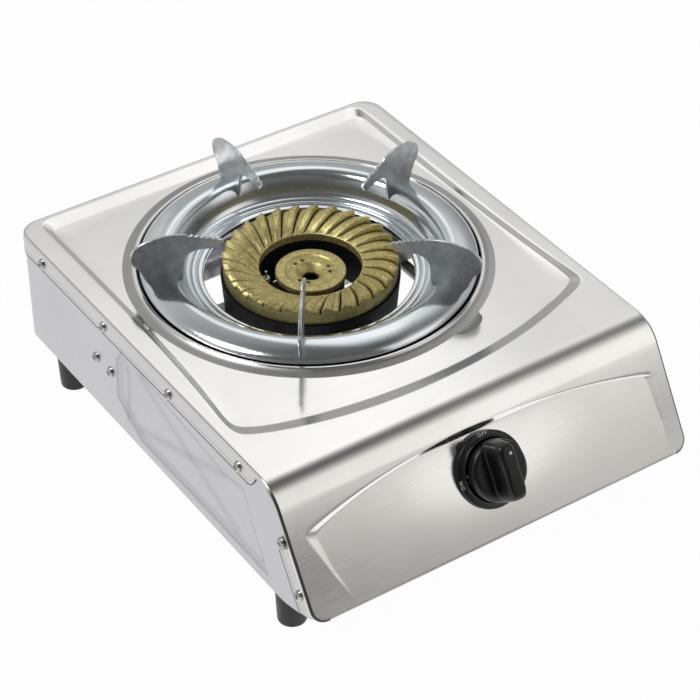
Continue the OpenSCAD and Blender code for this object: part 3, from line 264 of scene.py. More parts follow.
even = (1, 1, 1)
looks = {
    # Polished sheet: mirror images a little softened across the faint lines of its rolling
    "cover_steel": metalLook("coverSteel", "faf9f7", "f3f2ef", 0.14, 0.03, 14, (0.02, 1, 1), 0.02,
                             shaded=True),
    # Plain rolled sheet: an even grey with a broad soft sheen and no image
    "panel_steel": metalLook("panelSteel", "c6c5c8", "c3c2c6", 0.28, 0.012, 12, (1, 0.03, 1), 0,
                             shaded=True),
    # Zinc plate: dull and lightly mottled
    "zinc_steel": metalLook("zincSteel", "b9bbb8", "9b9d99", 0.42, 0.06, 60, even, 0.06),
    # Plated screws: small bright heads with uneven gloss
    "screw_steel": metalLook("screwSteel", "cfcecb", "9f9e9b", 0.26, 0.05, 300, even, 0.05),
    # Chrome: cool and clear, with soft clouds where heat has worked on it
    "ring_chrome": metalLook("ringChrome", "edf2f5", "e2e9ed", 0.13, 0.03, 20, even, 0.01, shaded=True),
    # Plated fins: pale, grainy and specked, so that they scatter what they mirror
    "fin_metal": metalLook("finMetal", "f2f6f8", "d3dadf", 0.3, 0.1, 150, even, 0.22, speck=0.32, fine=1500,
                           shaded=True),
    # Cast burner: near black with a coarse sandy skin
    "burner_iron": softLook("burnerIron", "0b0b0c", "151516", 0.65, 90, 0.5, 900, shine=0.25),
    # Brass caps: pale yellow, satin, with a coarse grain and dark pores
    "cap_brass": metalLook("capBrass", "f0e2a0", "dccb86", 0.4, 0.08, 260, even, 0.7, speck=0.45, fine=1150,
                           shaded=True, metal=0.75),
    # Die-cast valve: a greenish grey that shines only in patches
    "valve_alloy": metalLook("valveAlloy", "c2bca0", "9a9479", 0.45, 0.08, 120, even, 0.1),
    # Turned brass: warmer and clearer than the caps
    "fitting_brass": metalLook("fittingBrass", "d8bf74", "b89a4c", 0.3, 0.06, 150, even, 0.05),
    # Turned steel: a clean light grey
    "spindle_steel": metalLook("spindleSteel", "c9c9c9", "a5a5a5", 0.3, 0.05, 120, even, 0.04),
    # Drawn pipe: a darker grey with a faint haze
    "pipe_metal": metalLook("pipeMetal", "9c9a96", "7f7d7a", 0.38, 0.06, 80, even, 0.05),
    # Rubber: soft black with a moulded skin
    "foot_rubber": softLook("footRubber", "101112", "1a1b1d", 0.42, 120, 0.15, 2500),
    # Dial: glossy black plastic with a thin grain
    "dial_plastic": softLook("dialPlastic", "0c0d0e", "131415", 0.3, 90, 0.05, 3500),
    # Knob: the same gloss, a shade deeper
    "knob_plastic": softLook("knobPlastic", "0b0b0c", "111112", 0.3, 90, 0.05, 3500),
    # Igniter case: plain dark plastic, less glossy
    "piezo_plastic": softLook("piezoPlastic", "17181b", "222326", 0.4, 120, 0.1, 2500),
    # Ceramic rod: warm white under a thin clear glaze
    "igniter_glaze": softLook("igniterGlaze", "f2f0ea", "faf9f5", 0.25, 150, 0.03, 2500, 0.3),
    # Lead: dull red silicone
    "lead_cover": softLook("leadCover", "8e1f1a", "a32a22", 0.45, 120, 0.1, 2500),
}
# Printing ink: off-white and matt
printWhite = softLook("printWhite", "dededb", "eeeeeb", 0.5, 200, 0.1, 3000)
print("stage materials", len(looks))

# Camera of the photograph: its place and aim in millimetres, lens and film width as on a small camera
view = {"from": (-694.9, -1041.2, 1053.6), "to": (-32.48, -63.66, 109), "lens": 123.26, "film": 36}
camData = bpy.data.cameras.new("camera")
camData.lens = view["lens"]
camData.sensor_width = view["film"]
cam = bpy.data.objects.new("camera", camData)
cam.location = Vector(view["from"]) / 1000
look = Vector(view["to"]) / 1000 - cam.location
cam.rotation_euler = look.to_track_quat("-Z", "Y").to_euler()
scene.collection.objects.link(cam)
scene.camera = cam
scene.view_settings.view_transform = "Standard"

# Cover: one sheet, as closed loops round the well and a bent front that hangs from the outermost loop
cover = {
    "wall": 0.8, "fold": 1.8,  # sheet, and the round of its folded edge
    "back": 140.5, "rearR": 15, "cornerR": 10,  # rear edge, rear corners, lower front corners
    "bendY": -165.15, "bendR": 26, "slopeDeg": 57.784,  # bend between the top and the slope
    "startY": -179.5, "slopeL": 89.48,  # where the slope's line leaves the top's level, and its length
    "flange": 14.5, "slopeFlange": 2.1, "frontFlange": 16.5,  # its depth along top, slope and foot
    "flangeGrows": (37, 40),  # down the slope, where it goes from one to the other
    "footUp": 1.5, "cornerUp": 0.7,  # how far the lip and the corners stop short of the slope's end
    "lipHalf": 134, "lipLap": 133.6, "lipR": 0.8,  # half the bottom lip, where the fold laps it, its round
    "dialS": 45, "hole": 15,  # dial's place down the slope, and the hole under it
    "wellR": 123.4, "lugs": [(-67.5, 13.2, 7), (180.5, 6.5, 2.2)],  # lug: degrees, half width, reach
}
slopeA = math.radians(cover["slopeDeg"])
cosA, sinA = math.cos(slopeA), math.sin(slopeA)
slopeN = np.array([0, -sinA, cosA])
edgeX = halfW - cover["fold"]
backY = cover["back"] - cover["fold"]
rearR = cover["rearR"] - cover["fold"]
arcX, arcY = edgeX - rearR, backY - rearR


def arcPoints(cx, cy, r, a0, a1, n):
    # Points on a circle from one angle to another, in degrees
    a = np.radians(np.linspace(a0, a1, n + 1))
    return np.stack([cx + r * np.cos(a), cy + r * np.sin(a)], axis=-1)


def recessEdge(bow, ends, right, left, half, back, cornerR):
    # Anticlockwise from above: a bowed front y = a + bx + cx^2 + dx^3 + ex^4, a corner and side,
    # the square back, and the other side
    x = np.linspace(ends[0], ends[1], 110)
    front = np.stack([x, sum(c * x ** i for i, c in enumerate(bow))], -1)
    rear = [arcPoints(half - cornerR, back - cornerR, cornerR, 0, 90, 10),
            arcPoints(cornerR + left[0][0], back - cornerR, cornerR, 90, 180, 10)]
    return np.vstack([front, curveThrough(right, 8), *rear, curveThrough(left, 8)])


def rayHits(outline, ways):
    # Where a ray from the axis along each unit vector crosses the outline
    closed = np.vstack([outline, outline[:1]])
    a = np.unwrap(np.arctan2(closed[:, 1], closed[:, 0]))
    t = np.arctan2(ways[:, 1], ways[:, 0])
    t = a[0] + np.mod(t - a[0], 2 * np.pi)
    i = np.clip(np.searchsorted(a, t, side="right") - 1, 0, len(outline) - 1)
    p, q = closed[i], closed[i + 1]
    d = q - p
    r = (p[:, 0] * d[:, 1] - p[:, 1] * d[:, 0]) / (ways[:, 0] * d[:, 1] - ways[:, 1] * d[:, 0])
    return ways * r[:, None]


# Columns of the front: even in the middle, closer together round the lower corners
middleX = 108
cornerX = halfW - cover["cornerR"]
cornerSteps = cornerX + (edgeX - cornerX) * np.sin(np.linspace(0, math.pi / 2, 15))
frontEnd = np.concatenate([np.linspace(middleX, cornerX, 46)[:-1], cornerSteps])
frontX = np.concatenate([-frontEnd[::-1], np.linspace(-middleX, middleX, 96)[1:-1], frontEnd])
sideY = np.linspace(cover["bendY"], arcY, 100)[1:-1]
backX = np.linspace(arcX, -arcX, 80)[1:-1]
outer = np.vstack([np.stack([frontX, np.full(len(frontX), cover["bendY"])], -1),
                   np.stack([np.full(len(sideY), edgeX), sideY], -1),
                   arcPoints(arcX, arcY, rearR, 0, 90, 10),
                   np.stack([backX, np.full(len(backX), backY)], -1),
                   arcPoints(-arcX, arcY, rearR, 90, 180, 10),
                   np.stack([np.full(len(sideY), -edgeX), sideY[::-1]], -1)])
ways = outer / np.linalg.norm(outer, axis=1)[:, None]

# Recess in the top: the upper and the lower edge of its sloping wall
recessTop = {
    "bow": (-152.97, 0.0277, 1.283e-3, -1.67e-7, 1.5e-8), "ends": (-118, 112),
    "half": 130, "back": 135.9, "cornerR": 8,
    "right": [(121, -128.4), (128.3, -125.4), (133.2, -122.1), (135.4, -118.9), (135.9, -114), (135.2, -104),
              (133.6, -84), (132.3, -60), (131.2, -30), (130.3, 10), (130, 60), (130, 120)],
    "left": [(-130, 120), (-130, 60), (-130.3, 10), (-131.2, -30), (-132.6, -60), (-134.4, -90),
             (-135.8, -108), (-136, -114.5), (-135.6, -120), (-134.3, -124.6), (-131.6, -128.2),
             (-128, -130.5), (-122.9, -133)],
}
recessFoot = {
    "bow": (-142.8, 0.0066, 1.261e-3, 1.2e-6, 1.43e-8), "ends": (-104, 100),
    "half": 126.8, "back": 125.2, "cornerR": 5,
    "right": [(107, -125.1), (115.2, -122), (122, -118.8), (127, -115.6), (129.6, -112.8), (130.5, -109),
              (130.6, -100), (130.2, -84), (129, -60), (128, -30), (127.1, 10), (126.8, 60), (126.8, 116)],
    "left": [(-125, 116), (-125, 60), (-125.2, 10), (-126, -30), (-127.2, -60), (-129.3, -85),
             (-130.9, -101), (-131.3, -108), (-130.9, -113), (-129.5, -116.8), (-127, -119.3),
             (-123, -121.9), (-117.7, -124.6), (-109.2, -127.9)],
}
wallTop = rayHits(recessEdge(**recessTop), ways)
wallFoot = rayHits(recessEdge(**recessFoot), ways)


def wallEase(t, k=0.14):
    # Straight wall with a small round at each end: a parabola up to k, a line, a parabola again
    t = np.clip(np.asarray(t, dtype=float), 0, 1)
    low, high = t ** 2 / (2 * k), 1 - k - (1 - t) ** 2 / (2 * k)
    return np.where(t < k, low, np.where(t > 1 - k, high, t - k / 2)) / (1 - k)


def lugReach(points):
    # Two half-round lugs on the band's outer edge: reach * sqrt(1 - (d / half)^2), with d along the edge
    out = np.zeros(len(points))
    a = np.arctan2(points[:, 1], points[:, 0])
    for deg, half, reach in cover["lugs"]:
        d = cover["wellR"] * np.abs((a - math.radians(deg) + math.pi) % (2 * math.pi) - math.pi)
        out = np.maximum(out, reach * np.sqrt(np.clip(1 - (d / half) ** 2, 0, None)))
    return out


recessDepth = 2
loops = []
for t in np.linspace(0, 1, 5)[:-1]:
    loops.append((outer + (wallTop - outer) * t, 0, 0))
# Painted shade: the recess wall is a little darker in front
paintedWallShade = 0.13 * smooth((-80 - wallTop[:, 1]) / 25)
for t in (0, 0.05, 0.1, 0.14, 0.3, 0.5, 0.7, 0.86, 0.9, 0.95):
    drop = float(-recessDepth * wallEase(t))
    loops.append((wallTop + (wallFoot - wallTop) * t, drop, paintedWallShade if t > 0.05 else 0))
lug = lugReach(ways)
pocket = np.clip(lug - 0.5, 0, None)
bandEdge = ways * (cover["wellR"] + 0.35 + lug)[:, None]
for t in np.linspace(0, 1, 4)[:-1]:
    loops.append((wallFoot + (bandEdge - wallFoot) * t, -recessDepth, 0))
loops.append((bandEdge, -recessDepth, 0))
# Painted shade on the sloping band round the well, darker on the left and in front; the lugs go on with its
# cone and are painted a flat grey
bandAt = 123 * ways
paintedBandShade = 0.25 + 0.15 * smooth((40 - bandAt[:, 0]) / 80) + 0.05 * smooth((-40 - bandAt[:, 1]) / 60)
paintedLugShade = np.where(pocket > 0, 0.55, paintedBandShade)
loops.append((ways * (cover["wellR"] + lug)[:, None], -recessDepth, paintedBandShade))
loops.append((ways * (cover["wellR"] - 0.1 + pocket)[:, None], -1.97 - 0.26 * pocket, paintedLugShade))
loops.append((ways * (cover["wellR"] - 0.2 + pocket * 0.5)[:, None], -1.94 - 0.13 * pocket, paintedLugShade))
# Radius, height and shade of the rows over the raised rim and down to the seat; -1 is the band's painted
# shade
# The rows down into the gap under the pan ring are painted near black: painted shadow
wellRows = [(123, -1.88, -1), (122.5, -1.74, -1), (120, -1.0, -1), (117.6, -0.3, -1), (117.1, 0.1, 0),
            (116.7, 0.42, 0), (116.2, 0.57, 0), (115.2, 0.57, 0), (114.6, 0.3, 0.1), (114.2, -0.3, 0.7),
            (114.1, -1.2, 1), (114.1, -3.6, 1), (113.8, -4.1, 1), (113, -4.2, 0.9), (109, -4.2, 0.12),
            (104, -4.2, 0.05)]
for r, z, tone in wellRows:
    loops.append((ways * r, z, paintedBandShade if tone < 0 else tone))
coverShape = Shape()
zeros = np.zeros(len(outer))
coverShape.add(np.vstack([np.hstack([p, (zeros + z)[:, None]]) for p, z, tone in loops]),
               gridFaces(len(loops), len(outer), True),
               np.concatenate([zeros + tone for p, z, tone in loops]))

# Shield-shaped recess in the slope; x is across, s is down the slope
dent = {
    "depth": 0.8, "arcR": 494.5, "crown": 14.6,  # floor, and the arc along its top with the highest s
    "left": (-134.5, 33, 17.9 / 46), "right": (134.9, 35.7, -4.8 / 45),  # side: x, at s, lean
    "sideWall": (6.4, 33, 30, 1.3),  # width of the side walls: how much more above, from s, over, least
    "strip": (12, 74),  # the strips beside the floor sink from s, over
    "dial": (2.15, 46, 18, 26),  # more depth over the dial: how much, half width, from s, over
    "corner": 4.5, "ease": 0.16,  # how sharp its upper corners are, round at the wall's ends
}


def slopePoint(x, s, out):
    # A place on the front slope: s down it from its start line, out along its normal
    return np.stack([x + 0 * s, cover["startY"] - s * cosA - out * sinA, -s * sinA + out * cosA], -1)


def dentTop(x):
    # A circle's arc: crown + R - sqrt(R^2 - x^2)
    return dent["crown"] + dent["arcR"] - np.sqrt(dent["arcR"] ** 2 - x ** 2)


def topWidth(x):
    # Width of the arc's wall: 1.6 plus a bell in the middle and a power curve on the left, less an eased
    # step on the right
    left = 3.4 * np.clip((-x - 42) / 88, 0, 1.05) ** 2.6
    right = -0.9 * smooth((x - 30) / 50)
    return 1.6 + 2.8 * np.exp(-(x / 42) ** 2) + np.where(x < 0, left, right)


def dentDepth(x, s):
    # The nearer of arc and side gives the wall, rounded by log(e^-ka + e^-kb) / k; the floor lies along the
    # slope, the strips beside it come down to it, and a bell in x and s makes it deeper over the dial
    leftX, leftS, leftLean = dent["left"]
    rightX, rightS, rightLean = dent["right"]
    more, wideFrom, wideOver, least = dent["sideWall"]
    wideSide = more * np.clip(1 - (s - wideFrom) / wideOver, 0, 1.1) + least
    a = (s - dentTop(x)) / topWidth(x)
    b = np.where(x < 0, x - leftX - leftLean * (s - leftS), rightX + rightLean * (s - rightS) - x) / wideSide
    k = dent["corner"]
    wall = wallEase(-np.logaddexp(-k * np.clip(a, -2, 3), -k * np.clip(b, -2, 3)) / k, dent["ease"])
    strip = smooth((s - dent["strip"][0]) / dent["strip"][1])
    deeper, half, dialFrom, dialOver = dent["dial"]
    bell = np.exp(-(x / half) ** 2 - (np.clip(s - dialFrom, 0, None) / dialOver) ** 2)
    return dent["depth"] * (wall + (1 - wall) * strip) + deeper * wall * bell


# Rows of the front: round the bend, down to the arc, over its wall, and down to the foot
roundR = edgeX - cornerX
bendAngles = np.linspace(0, slopeA, 21)
frontRows = [np.stack([frontX, np.full(len(frontX), cover["bendY"] - cover["bendR"] * math.sin(a)),
                       np.full(len(frontX), cover["bendR"] * (math.cos(a) - 1))], -1) for a in bendAngles]
bendEnd = cover["bendR"] * math.tan(slopeA / 2)
reach = np.clip(np.abs(frontX) - cornerX, 0, roundR)
bottom = cover["slopeL"] - cover["cornerUp"] - cover["fold"] - roundR + np.sqrt(roundR ** 2 - reach ** 2)
lipOn = np.abs(frontX) <= cover["lipHalf"]
lipS = cover["slopeL"] - cover["footUp"]
foot = np.where(lipOn, lipS, bottom)
arcTop = dentTop(frontX)
wallEnd = arcTop + topWidth(frontX) + 0.3
slopeRows = []
for start, end, n in ((bendEnd, arcTop, 7), (arcTop, wallEnd, 13), (wallEnd, foot, 43)):
    slopeRows += [start + (end - start) * t for t in np.linspace(0, 1, n)[1:]]
frontRows += [slopePoint(frontX, s, -dentDepth(frontX, s)) for s in slopeRows]
coverShape.add(np.vstack(frontRows), gridFaces(len(frontRows), len(frontX)))

# The bottom edge turns in under the slope, from the slope's outward normal round to straight down
lipX = frontX[lipOn]
lipR = cover["lipR"]
centreY, centreZ = cover["startY"] - lipS * cosA + lipR * sinA, -lipS * sinA - lipR * cosA
sunk = dentDepth(lipX, foot[lipOn])[:, None] * slopeN
lipRows = []
for a in math.atan2(cosA, -sinA) + np.linspace(0, math.pi - slopeA, 7):
    y, z = centreY + lipR * math.cos(a), centreZ + lipR * math.sin(a)
    lipRows.append(np.stack([lipX, np.full(len(lipX), y), np.full(len(lipX), z)], -1) - sunk)
lipRows[0] = frontRows[-1][lipOn]
lipRows += [lipRows[-1] + np.array([0, step, 0]) for step in (6, 15)]
coverShape.add(np.vstack(lipRows), gridFaces(len(lipRows), len(lipX)))

# Fold and flange along the sides and the back: a path with the way out, the way up and the flange's depth
fold = []


def addFold(points, out, up, depth):
    # One row a point: its place, the way out, the way up and the depth
    n = len(points)
    fold.append(np.hstack([points, np.broadcast_to(out, (n, 3)), np.broadcast_to(up, (n, 3)),
                           np.broadcast_to(depth, n)[:, None]]))


def flangeEase(t):
    # From the shallow flange along the slope to the full one at its foot
    return cover["slopeFlange"] + (cover["frontFlange"] - cover["slopeFlange"]) * smooth(t)


def foldFront(k, side):
    # One edge column of the front, upwards on the right side and downwards on the left one
    points = np.array([row[k] for row in frontRows])
    bendUps = np.stack([0 * bendAngles, -np.sin(bendAngles), np.cos(bendAngles)], -1)
    ups = np.vstack([bendUps, np.tile(slopeN, (len(slopeRows), 1))])
    start, full = cover["flangeGrows"]
    grown = flangeEase((np.array([s[k] for s in slopeRows]) - start) / (full - start))
    depth = np.concatenate([np.full(len(bendAngles), cover["slopeFlange"]), grown])
    order = slice(None, None, -1) if side > 0 else slice(1, None)
    addFold(points[order], (side, 0, 0), ups[order], depth[order])


def foldCorner(k, side):
    # The fold goes round the lower corner: out turns from sideways to down the slope; its end laps the lip
    k = np.append(k[0], k) if side > 0 else np.append(k, k[-1])
    points = frontRows[-1][k]
    points[0 if side > 0 else -1, 0] = side * cover["lipLap"]
    turn = np.arccos(np.minimum(1, reach[k] / roundR))
    out = np.stack([side * np.cos(turn), -cosA * np.sin(turn), -sinA * np.sin(turn)], -1)
    addFold(points, out, slopeN, flangeEase(1 - turn / 1.1))


foldCorner(np.where(frontX[:-1] > cover["lipHalf"])[0], 1)
foldFront(len(frontX) - 1, 1)
rest = np.vstack([outer[len(frontX):], outer[:1]])
away = rest - np.stack([np.clip(rest[:, 0], -arcX, arcX), np.minimum(rest[:, 1], arcY)], -1)
away[-1] = (-1, 0)
away = away / np.linalg.norm(away, axis=1)[:, None]
flat = np.zeros((len(rest), 1))
# Behind the bend the flange grows to its depth along the top
growY = [-165.1, -162.5, -160, -156.5, -155]
restDepth = np.interp(rest[:, 1], growY, [cover["slopeFlange"], 4, 9, 13.6, cover["flange"]])
addFold(np.hstack([rest, flat]), np.hstack([away, flat]), (0, 0, 1), restDepth)
foldFront(0, -1)
foldCorner(1 + np.where(frontX[1:] < -cover["lipHalf"])[0], -1)
fold = np.vstack(fold)
path, outs, ups, depths = fold[:, :3], fold[:, 3:6], fold[:, 6:9], fold[:, 9:]
flangeRows, paintedFlangeShade = [path], [np.zeros(len(path))]
sloped = smooth((0.97 - ups[:, 2]) / 0.15)
# Degrees round the fold, its painted shade along the top and along the slope: a painted highlight down the
# fold's middle, darker beside it and darker all down the slope
paintedFoldShades = ((6, 0.3, 0.6), (16, 0.35, 0.88), (30, 0.05, 0.9), (45, 0, 0.9), (60, 0.05, 0.88),
             (75, 0.36, 0.6), (90, 0.3, 0.1))
for deg, level, front in paintedFoldShades:
    a = math.radians(deg)
    flangeRows.append(path + cover["fold"] * (math.sin(a) * outs - (1 - math.cos(a)) * ups))
    paintedFlangeShade.append(level + (front - level) * sloped)
# Share of the flange's depth, out and painted shade; a bead runs along it, a little above its lower edge. The
# flange is painted grey, with painted shadow at the bead and darker towards its lower edge
beadRows = ((0.2, 0, 0.3), (0.6, 0, 0.3), (0.68, 0, 0.33), (0.71, -0.12, 0.55), (0.74, 0, 0.3), (0.8, 0, 0.3),
            (0.9, 0, 0.3), (0.93, 0, 0.8), (1, 0, 0.9))
for t, out, tone in beadRows:
    down = cover["fold"] + (depths - cover["fold"]) * t
    flangeRows.append(path + (cover["fold"] + out) * outs - down * ups)
    paintedFlangeShade.append(np.full(len(path), tone))
coverShape.add(np.vstack(flangeRows), gridFaces(len(flangeRows), len(path)), np.concatenate(paintedFlangeShade))


def underDial(p):
    # True inside the hole that the dial covers
    y, z = p.y - axisY, p.z - flatTop
    s = (cover["startY"] - y) * cosA - z * sinA
    return y < cover["startY"] - 0.5 and math.hypot(p.x, s - cover["dialS"]) < cover["hole"]


coverPiece = makePiece("coverSheet", coverShape, looks["cover_steel"], "stove", ["top_cover"],
                       40, up=((0, 138, 0), (0, 0, 1)), drop=underDial)
thicken(coverPiece, cover["wall"])
print("stage cover", len(coverPiece.data.polygons))

# Side panels: a stamped plate with a soft-walled emboss, a rounded rear corner and a turned-in foot
panel = {
    "x": halfW - 0.85, "cornerR": 14.15, "tab": 12, "wall": 0.8,  # outer face, rear corner and its tab, sheet
    "gap": 1.7, "slot": 2.2,  # clearance under the cover, and how much more behind the bend
    "depth": 1.7, "soft": 4,  # emboss, and the width of its wall
    "footFlange": 22, "footR": 1.5,
    "tipY": [-221.9, -220.6, -218, -212.7, -203.8, -192.6, -186],  # lower edge at the front tip
    "tipZ": [-70.6, -73.2, -75.2, -76.9, -80.1, -83.3, -84],
    "emboss": [(-1, -14.6), (-123, -27.5), (-145.7, -24.4), (-172, -75.7), (-19, -77), (9.8, -59),
               (7.8, -27)],
    # The small slot is painted black as its shadow, not cut
    "slotShadow": ((-167.6, -3.9), (-172.4, -5.3), 0.8),  # small slot near the bend: ends, half width
    # Creases: two ends, height, half width
    "creases": [((-5, -25), (-2.5, -72), 0.45, 2.2), ((-16, -70), (-120, -33), 0.3, 3.5),
                ((-20, -24), (-135, -68), 0.3, 3.5)],
}


def lineDistance(y, z, a, b):
    # Distance from each point to the stretch from a to b: to its nearest point, the share t of the way along
    dy, dz = b[0] - a[0], b[1] - a[1]
    t = np.clip(((y - a[0]) * dy + (z - a[1]) * dz) / (dy * dy + dz * dz), 0, 1)
    return np.hypot(y - a[0] - t * dy, z - a[1] - t * dz)


def outlineDistance(y, z, poly):
    # Distance from each point to a polygon, positive inside: there a ray crosses its edges an odd number
    # of times
    best = np.full(y.shape, 1e9)
    inside = np.zeros(y.shape, bool)
    for a, b in zip(poly, np.roll(poly, -1, axis=0)):
        best = np.minimum(best, lineDistance(y, z, a, b))
        inside ^= ((a[1] > z) != (b[1] > z)) & (y < (b[0] - a[0]) * (z - a[1]) / (b[1] - a[1] + 1e-12) + a[0])
    return np.where(inside, best, -best)


def panelShape(side):
    # A plan line from the front tip round the rear corner to its tab, carried down from under the cover to
    # the lower edge; the emboss moves it inwards by depth * smooth(distance to the outline / width)
    straight = cover["back"] - cover["rearR"]
    ys = np.concatenate([np.linspace(panel["tipY"][0], -150, 66), np.linspace(-150, 20, 132)[1:],
                         np.linspace(20, straight, 60)[1:]])
    n = len(ys)
    middle = np.array([panel["cornerR"] - panel["x"], straight])
    corner = arcPoints(*middle, panel["cornerR"], 180, 90, 12)[1:]
    tabX = np.linspace(corner[-1][0], corner[-1][0] + panel["tab"], 7)[1:]
    tab = np.stack([tabX, np.full(6, corner[-1][1])], -1)
    plan = np.vstack([np.stack([np.full(n, -panel["x"]), ys], -1), corner, tab])
    inward = np.vstack([np.tile([1, 0], (n, 1)), middle - corner, np.tile([0, -1], (6, 1))])
    inward = inward / np.linalg.norm(inward, axis=1)[:, None]
    y = plan[:, 1]
    r = cover["bendR"] - panel["gap"]
    bend = -cover["bendR"] + np.sqrt(np.clip(r * r - (y - cover["bendY"]) ** 2, 0, None))
    # The corner stands back under the bend and leaves a dark slot
    back = panel["slot"] * smooth((-170 - y) / 4) * smooth((y + 196) / 10)
    line = ((y - cover["startY"]) * sinA - panel["gap"]) / cosA
    under = np.where(y > cover["bendY"] - r * sinA, bend, line)
    top = np.where(y > cover["bendY"], -panel["gap"], under) - back
    low = np.interp(y, panel["tipY"], panel["tipZ"])
    # Rows stand closer together round the seam
    t = np.concatenate([np.linspace(0, 0.12, 4), np.linspace(0.13, 0.21, 18), np.linspace(0.22, 1, 56)])
    z = top + (np.minimum(low, top - 0.01) - top) * t[:, None]
    yy = np.repeat(y[None, :], len(t), 0)
    soft = outlineDistance(yy, z, np.array(panel["emboss"]))
    depth = panel["depth"] * smooth((soft + 0.5) / panel["soft"])
    # Painted shade: darker lines along the emboss's edges, and a painted shadow under the cover's flange
    tone = 0.2 * np.exp(-((soft - 0.2) / 0.9) ** 2) + 0.1 * np.exp(-((soft - panel["soft"]) / 1.2) ** 2)
    seamShadow = np.where(y > -152, np.exp(-(np.clip(-z - cover["flange"] - 0.6, 0, None) / 0.9) ** 2), 0)
    tone = np.where(yy > straight, 0, tone + 0.5 * seamShadow)
    # Painted shadow: the small slot near the bend is painted black, not cut
    slotFrom, slotTo, slotHalf = panel["slotShadow"]
    tone = np.where(lineDistance(yy, z, slotFrom, slotTo) < slotHalf, 1, tone)
    # Faint crossing creases inside the emboss, and the line near its rear end, each darkened with painted
    # shade
    for a, b, high, wide in panel["creases"]:
        near = np.exp(-(lineDistance(yy, z, a, b) / wide) ** 2)
        depth = depth - high * near
        tone = tone + 0.1 * near
    depth = np.where(yy > straight, 0, depth)
    pts = np.stack([plan[:, 0] + inward[:, 0] * depth, yy + inward[:, 1] * depth, z], -1)
    shape = Shape().add(pts, gridFaces(len(t), len(plan)), tone)
    # Foot flange, turned in along the straight part
    keep = np.where((y < straight + 0.01) & (y > -187))[0]
    footLine = pts[-1][keep]
    rounded = [panel["footR"] * (1 - math.cos(a)) for a in np.radians([30, 60, 90])]
    steps = [0] + rounded + [8, 15, panel["footFlange"]]
    flange = np.vstack([footLine + np.array([step, 0, 0]) for step in steps])
    shape.add(flange, gridFaces(len(steps), len(keep)))
    if side > 0:
        for p in shape.points:
            p[:, 0] *= -1
    return shape


for side, name in ((-1, "left"), (1, "right")):
    piece = makePiece("sidePanel_" + name, panelShape(side), looks["panel_steel"], "stove",
                      ["side_panel_" + name], 40, up=((side * panel["x"], 60, -50), (side, 0, 0)))
    thicken(piece, panel["wall"])
print("stage side panels", len(piece.data.polygons))

# Pan ring: a domed sheet, drawn as an outer and an inner curve
panRing = {
    "edge": 112.7, "turns": 224, "sheet": (0.2, -1),  # outer radius, steps round, way to the underside
    "top": [(112.7, 0.6), (112.2, 1.9), (110.6, 3.3), (108, 4.6), (104.5, 5.8), (100.5, 6.7), (96.8, 7),
            (93.6, 6.6), (90.9, 5.3), (88.6, 3), (86.8, 0), (85.5, -3.2), (84.2, -5.9), (82.4, -7.7),
            (80.2, -8.4), (79.4, -8.2), (78.6, -8.5), (77.6, -9), (76, -9.1), (75.2, -8.8), (74.4, -9),
            (73.4, -9.4), (71.6, -9.5), (70.9, -9.7), (70.5, -10.4)],
}
ringTop = curveThrough(panRing["top"], 5)
underside = ringTop[-8:5:-1] + np.array(panRing["sheet"])
ringProfile = np.vstack([[(112.7, -4.2), (112.75, -2), (112.7, -0.4)], ringTop,
                         [(70.5, -12.1), (71.4, -12.1), (71.4, -10.6)], underside,
                         [(111.8, -1), (111.8, -4.2)]])
ringProfile[:, 0] = np.minimum(ringProfile[:, 0], panRing["edge"])
ringPts, ringFaces = revolve(ringProfile, panRing["turns"], True)
ringAt = np.hypot(ringPts[:, 0], ringPts[:, 1])
# Painted shade: the steep inner wall is darker at the back
paintedRingShade = 0.36 * np.exp(-((ringAt - 86.3) / 2.3) ** 2) * smooth((ringPts[:, 1] / ringAt - 0.15) / 0.4)
ringShape = Shape().add(ringPts, ringFaces, paintedRingShade)
ringPiece = makePiece("panRing", ringShape, looks["ring_chrome"], "pan_support", ["pan_ring"],
                      50)
print("stage pan ring", len(ringPiece.data.polygons))

# Fins: flat plates with a toothed inner edge, small rounds along every edge; curves give radius and height
fin = {
    "thick": 2.2, "round": 0.5, "angles": (90, 162, 234, 306, 18), "teeth": 13, "tooth": 1.3,
    "low": [(57, 26), (60, 21.3), (65, 21.3), (72, 22), (77, 21.8), (82, 19.5), (84, 15), (85, 8)],
    "base": [(86, -0.4), (92, 5), (102, 4.8), (110, 2.4)],
    "back": [(112, 8), (114.5, 13.5), (118, 17.5), (119.5, 22), (119, 27), (116, 31), (111, 34), (104, 35.8),
             (96, 36.8), (90, 36.6), (84, 35.8)],
    "tip": ((82, 35.4), (59, 27.6)),
}
toothI = np.arange(fin["teeth"])
toothT = toothI / (fin["teeth"] - 1)
(tipR, tipZ), (noseR, noseZ) = fin["tip"]
teeth = np.stack([tipR + (noseR - tipR) * toothT,
                  tipZ + (noseZ - tipZ) * toothT ** 1.35 - fin["tooth"] * (toothI % 2)], -1)
finOutline = np.vstack([curveThrough(fin[side], 4) for side in ("low", "base", "back")] + [teeth])


def inset(outline, by):
    # Moves an outline inwards, each point square to the sum of its two unit edges
    e1 = outline - np.roll(outline, 1, 0)
    e2 = np.roll(outline, -1, 0) - outline
    e1 /= np.linalg.norm(e1, axis=1)[:, None] + 1e-9
    e2 /= np.linalg.norm(e2, axis=1)[:, None] + 1e-9
    n = np.stack([-(e1 + e2)[:, 1], (e1 + e2)[:, 0]], -1)
    n /= np.linalg.norm(n, axis=1)[:, None] + 1e-9
    return outline + n * by


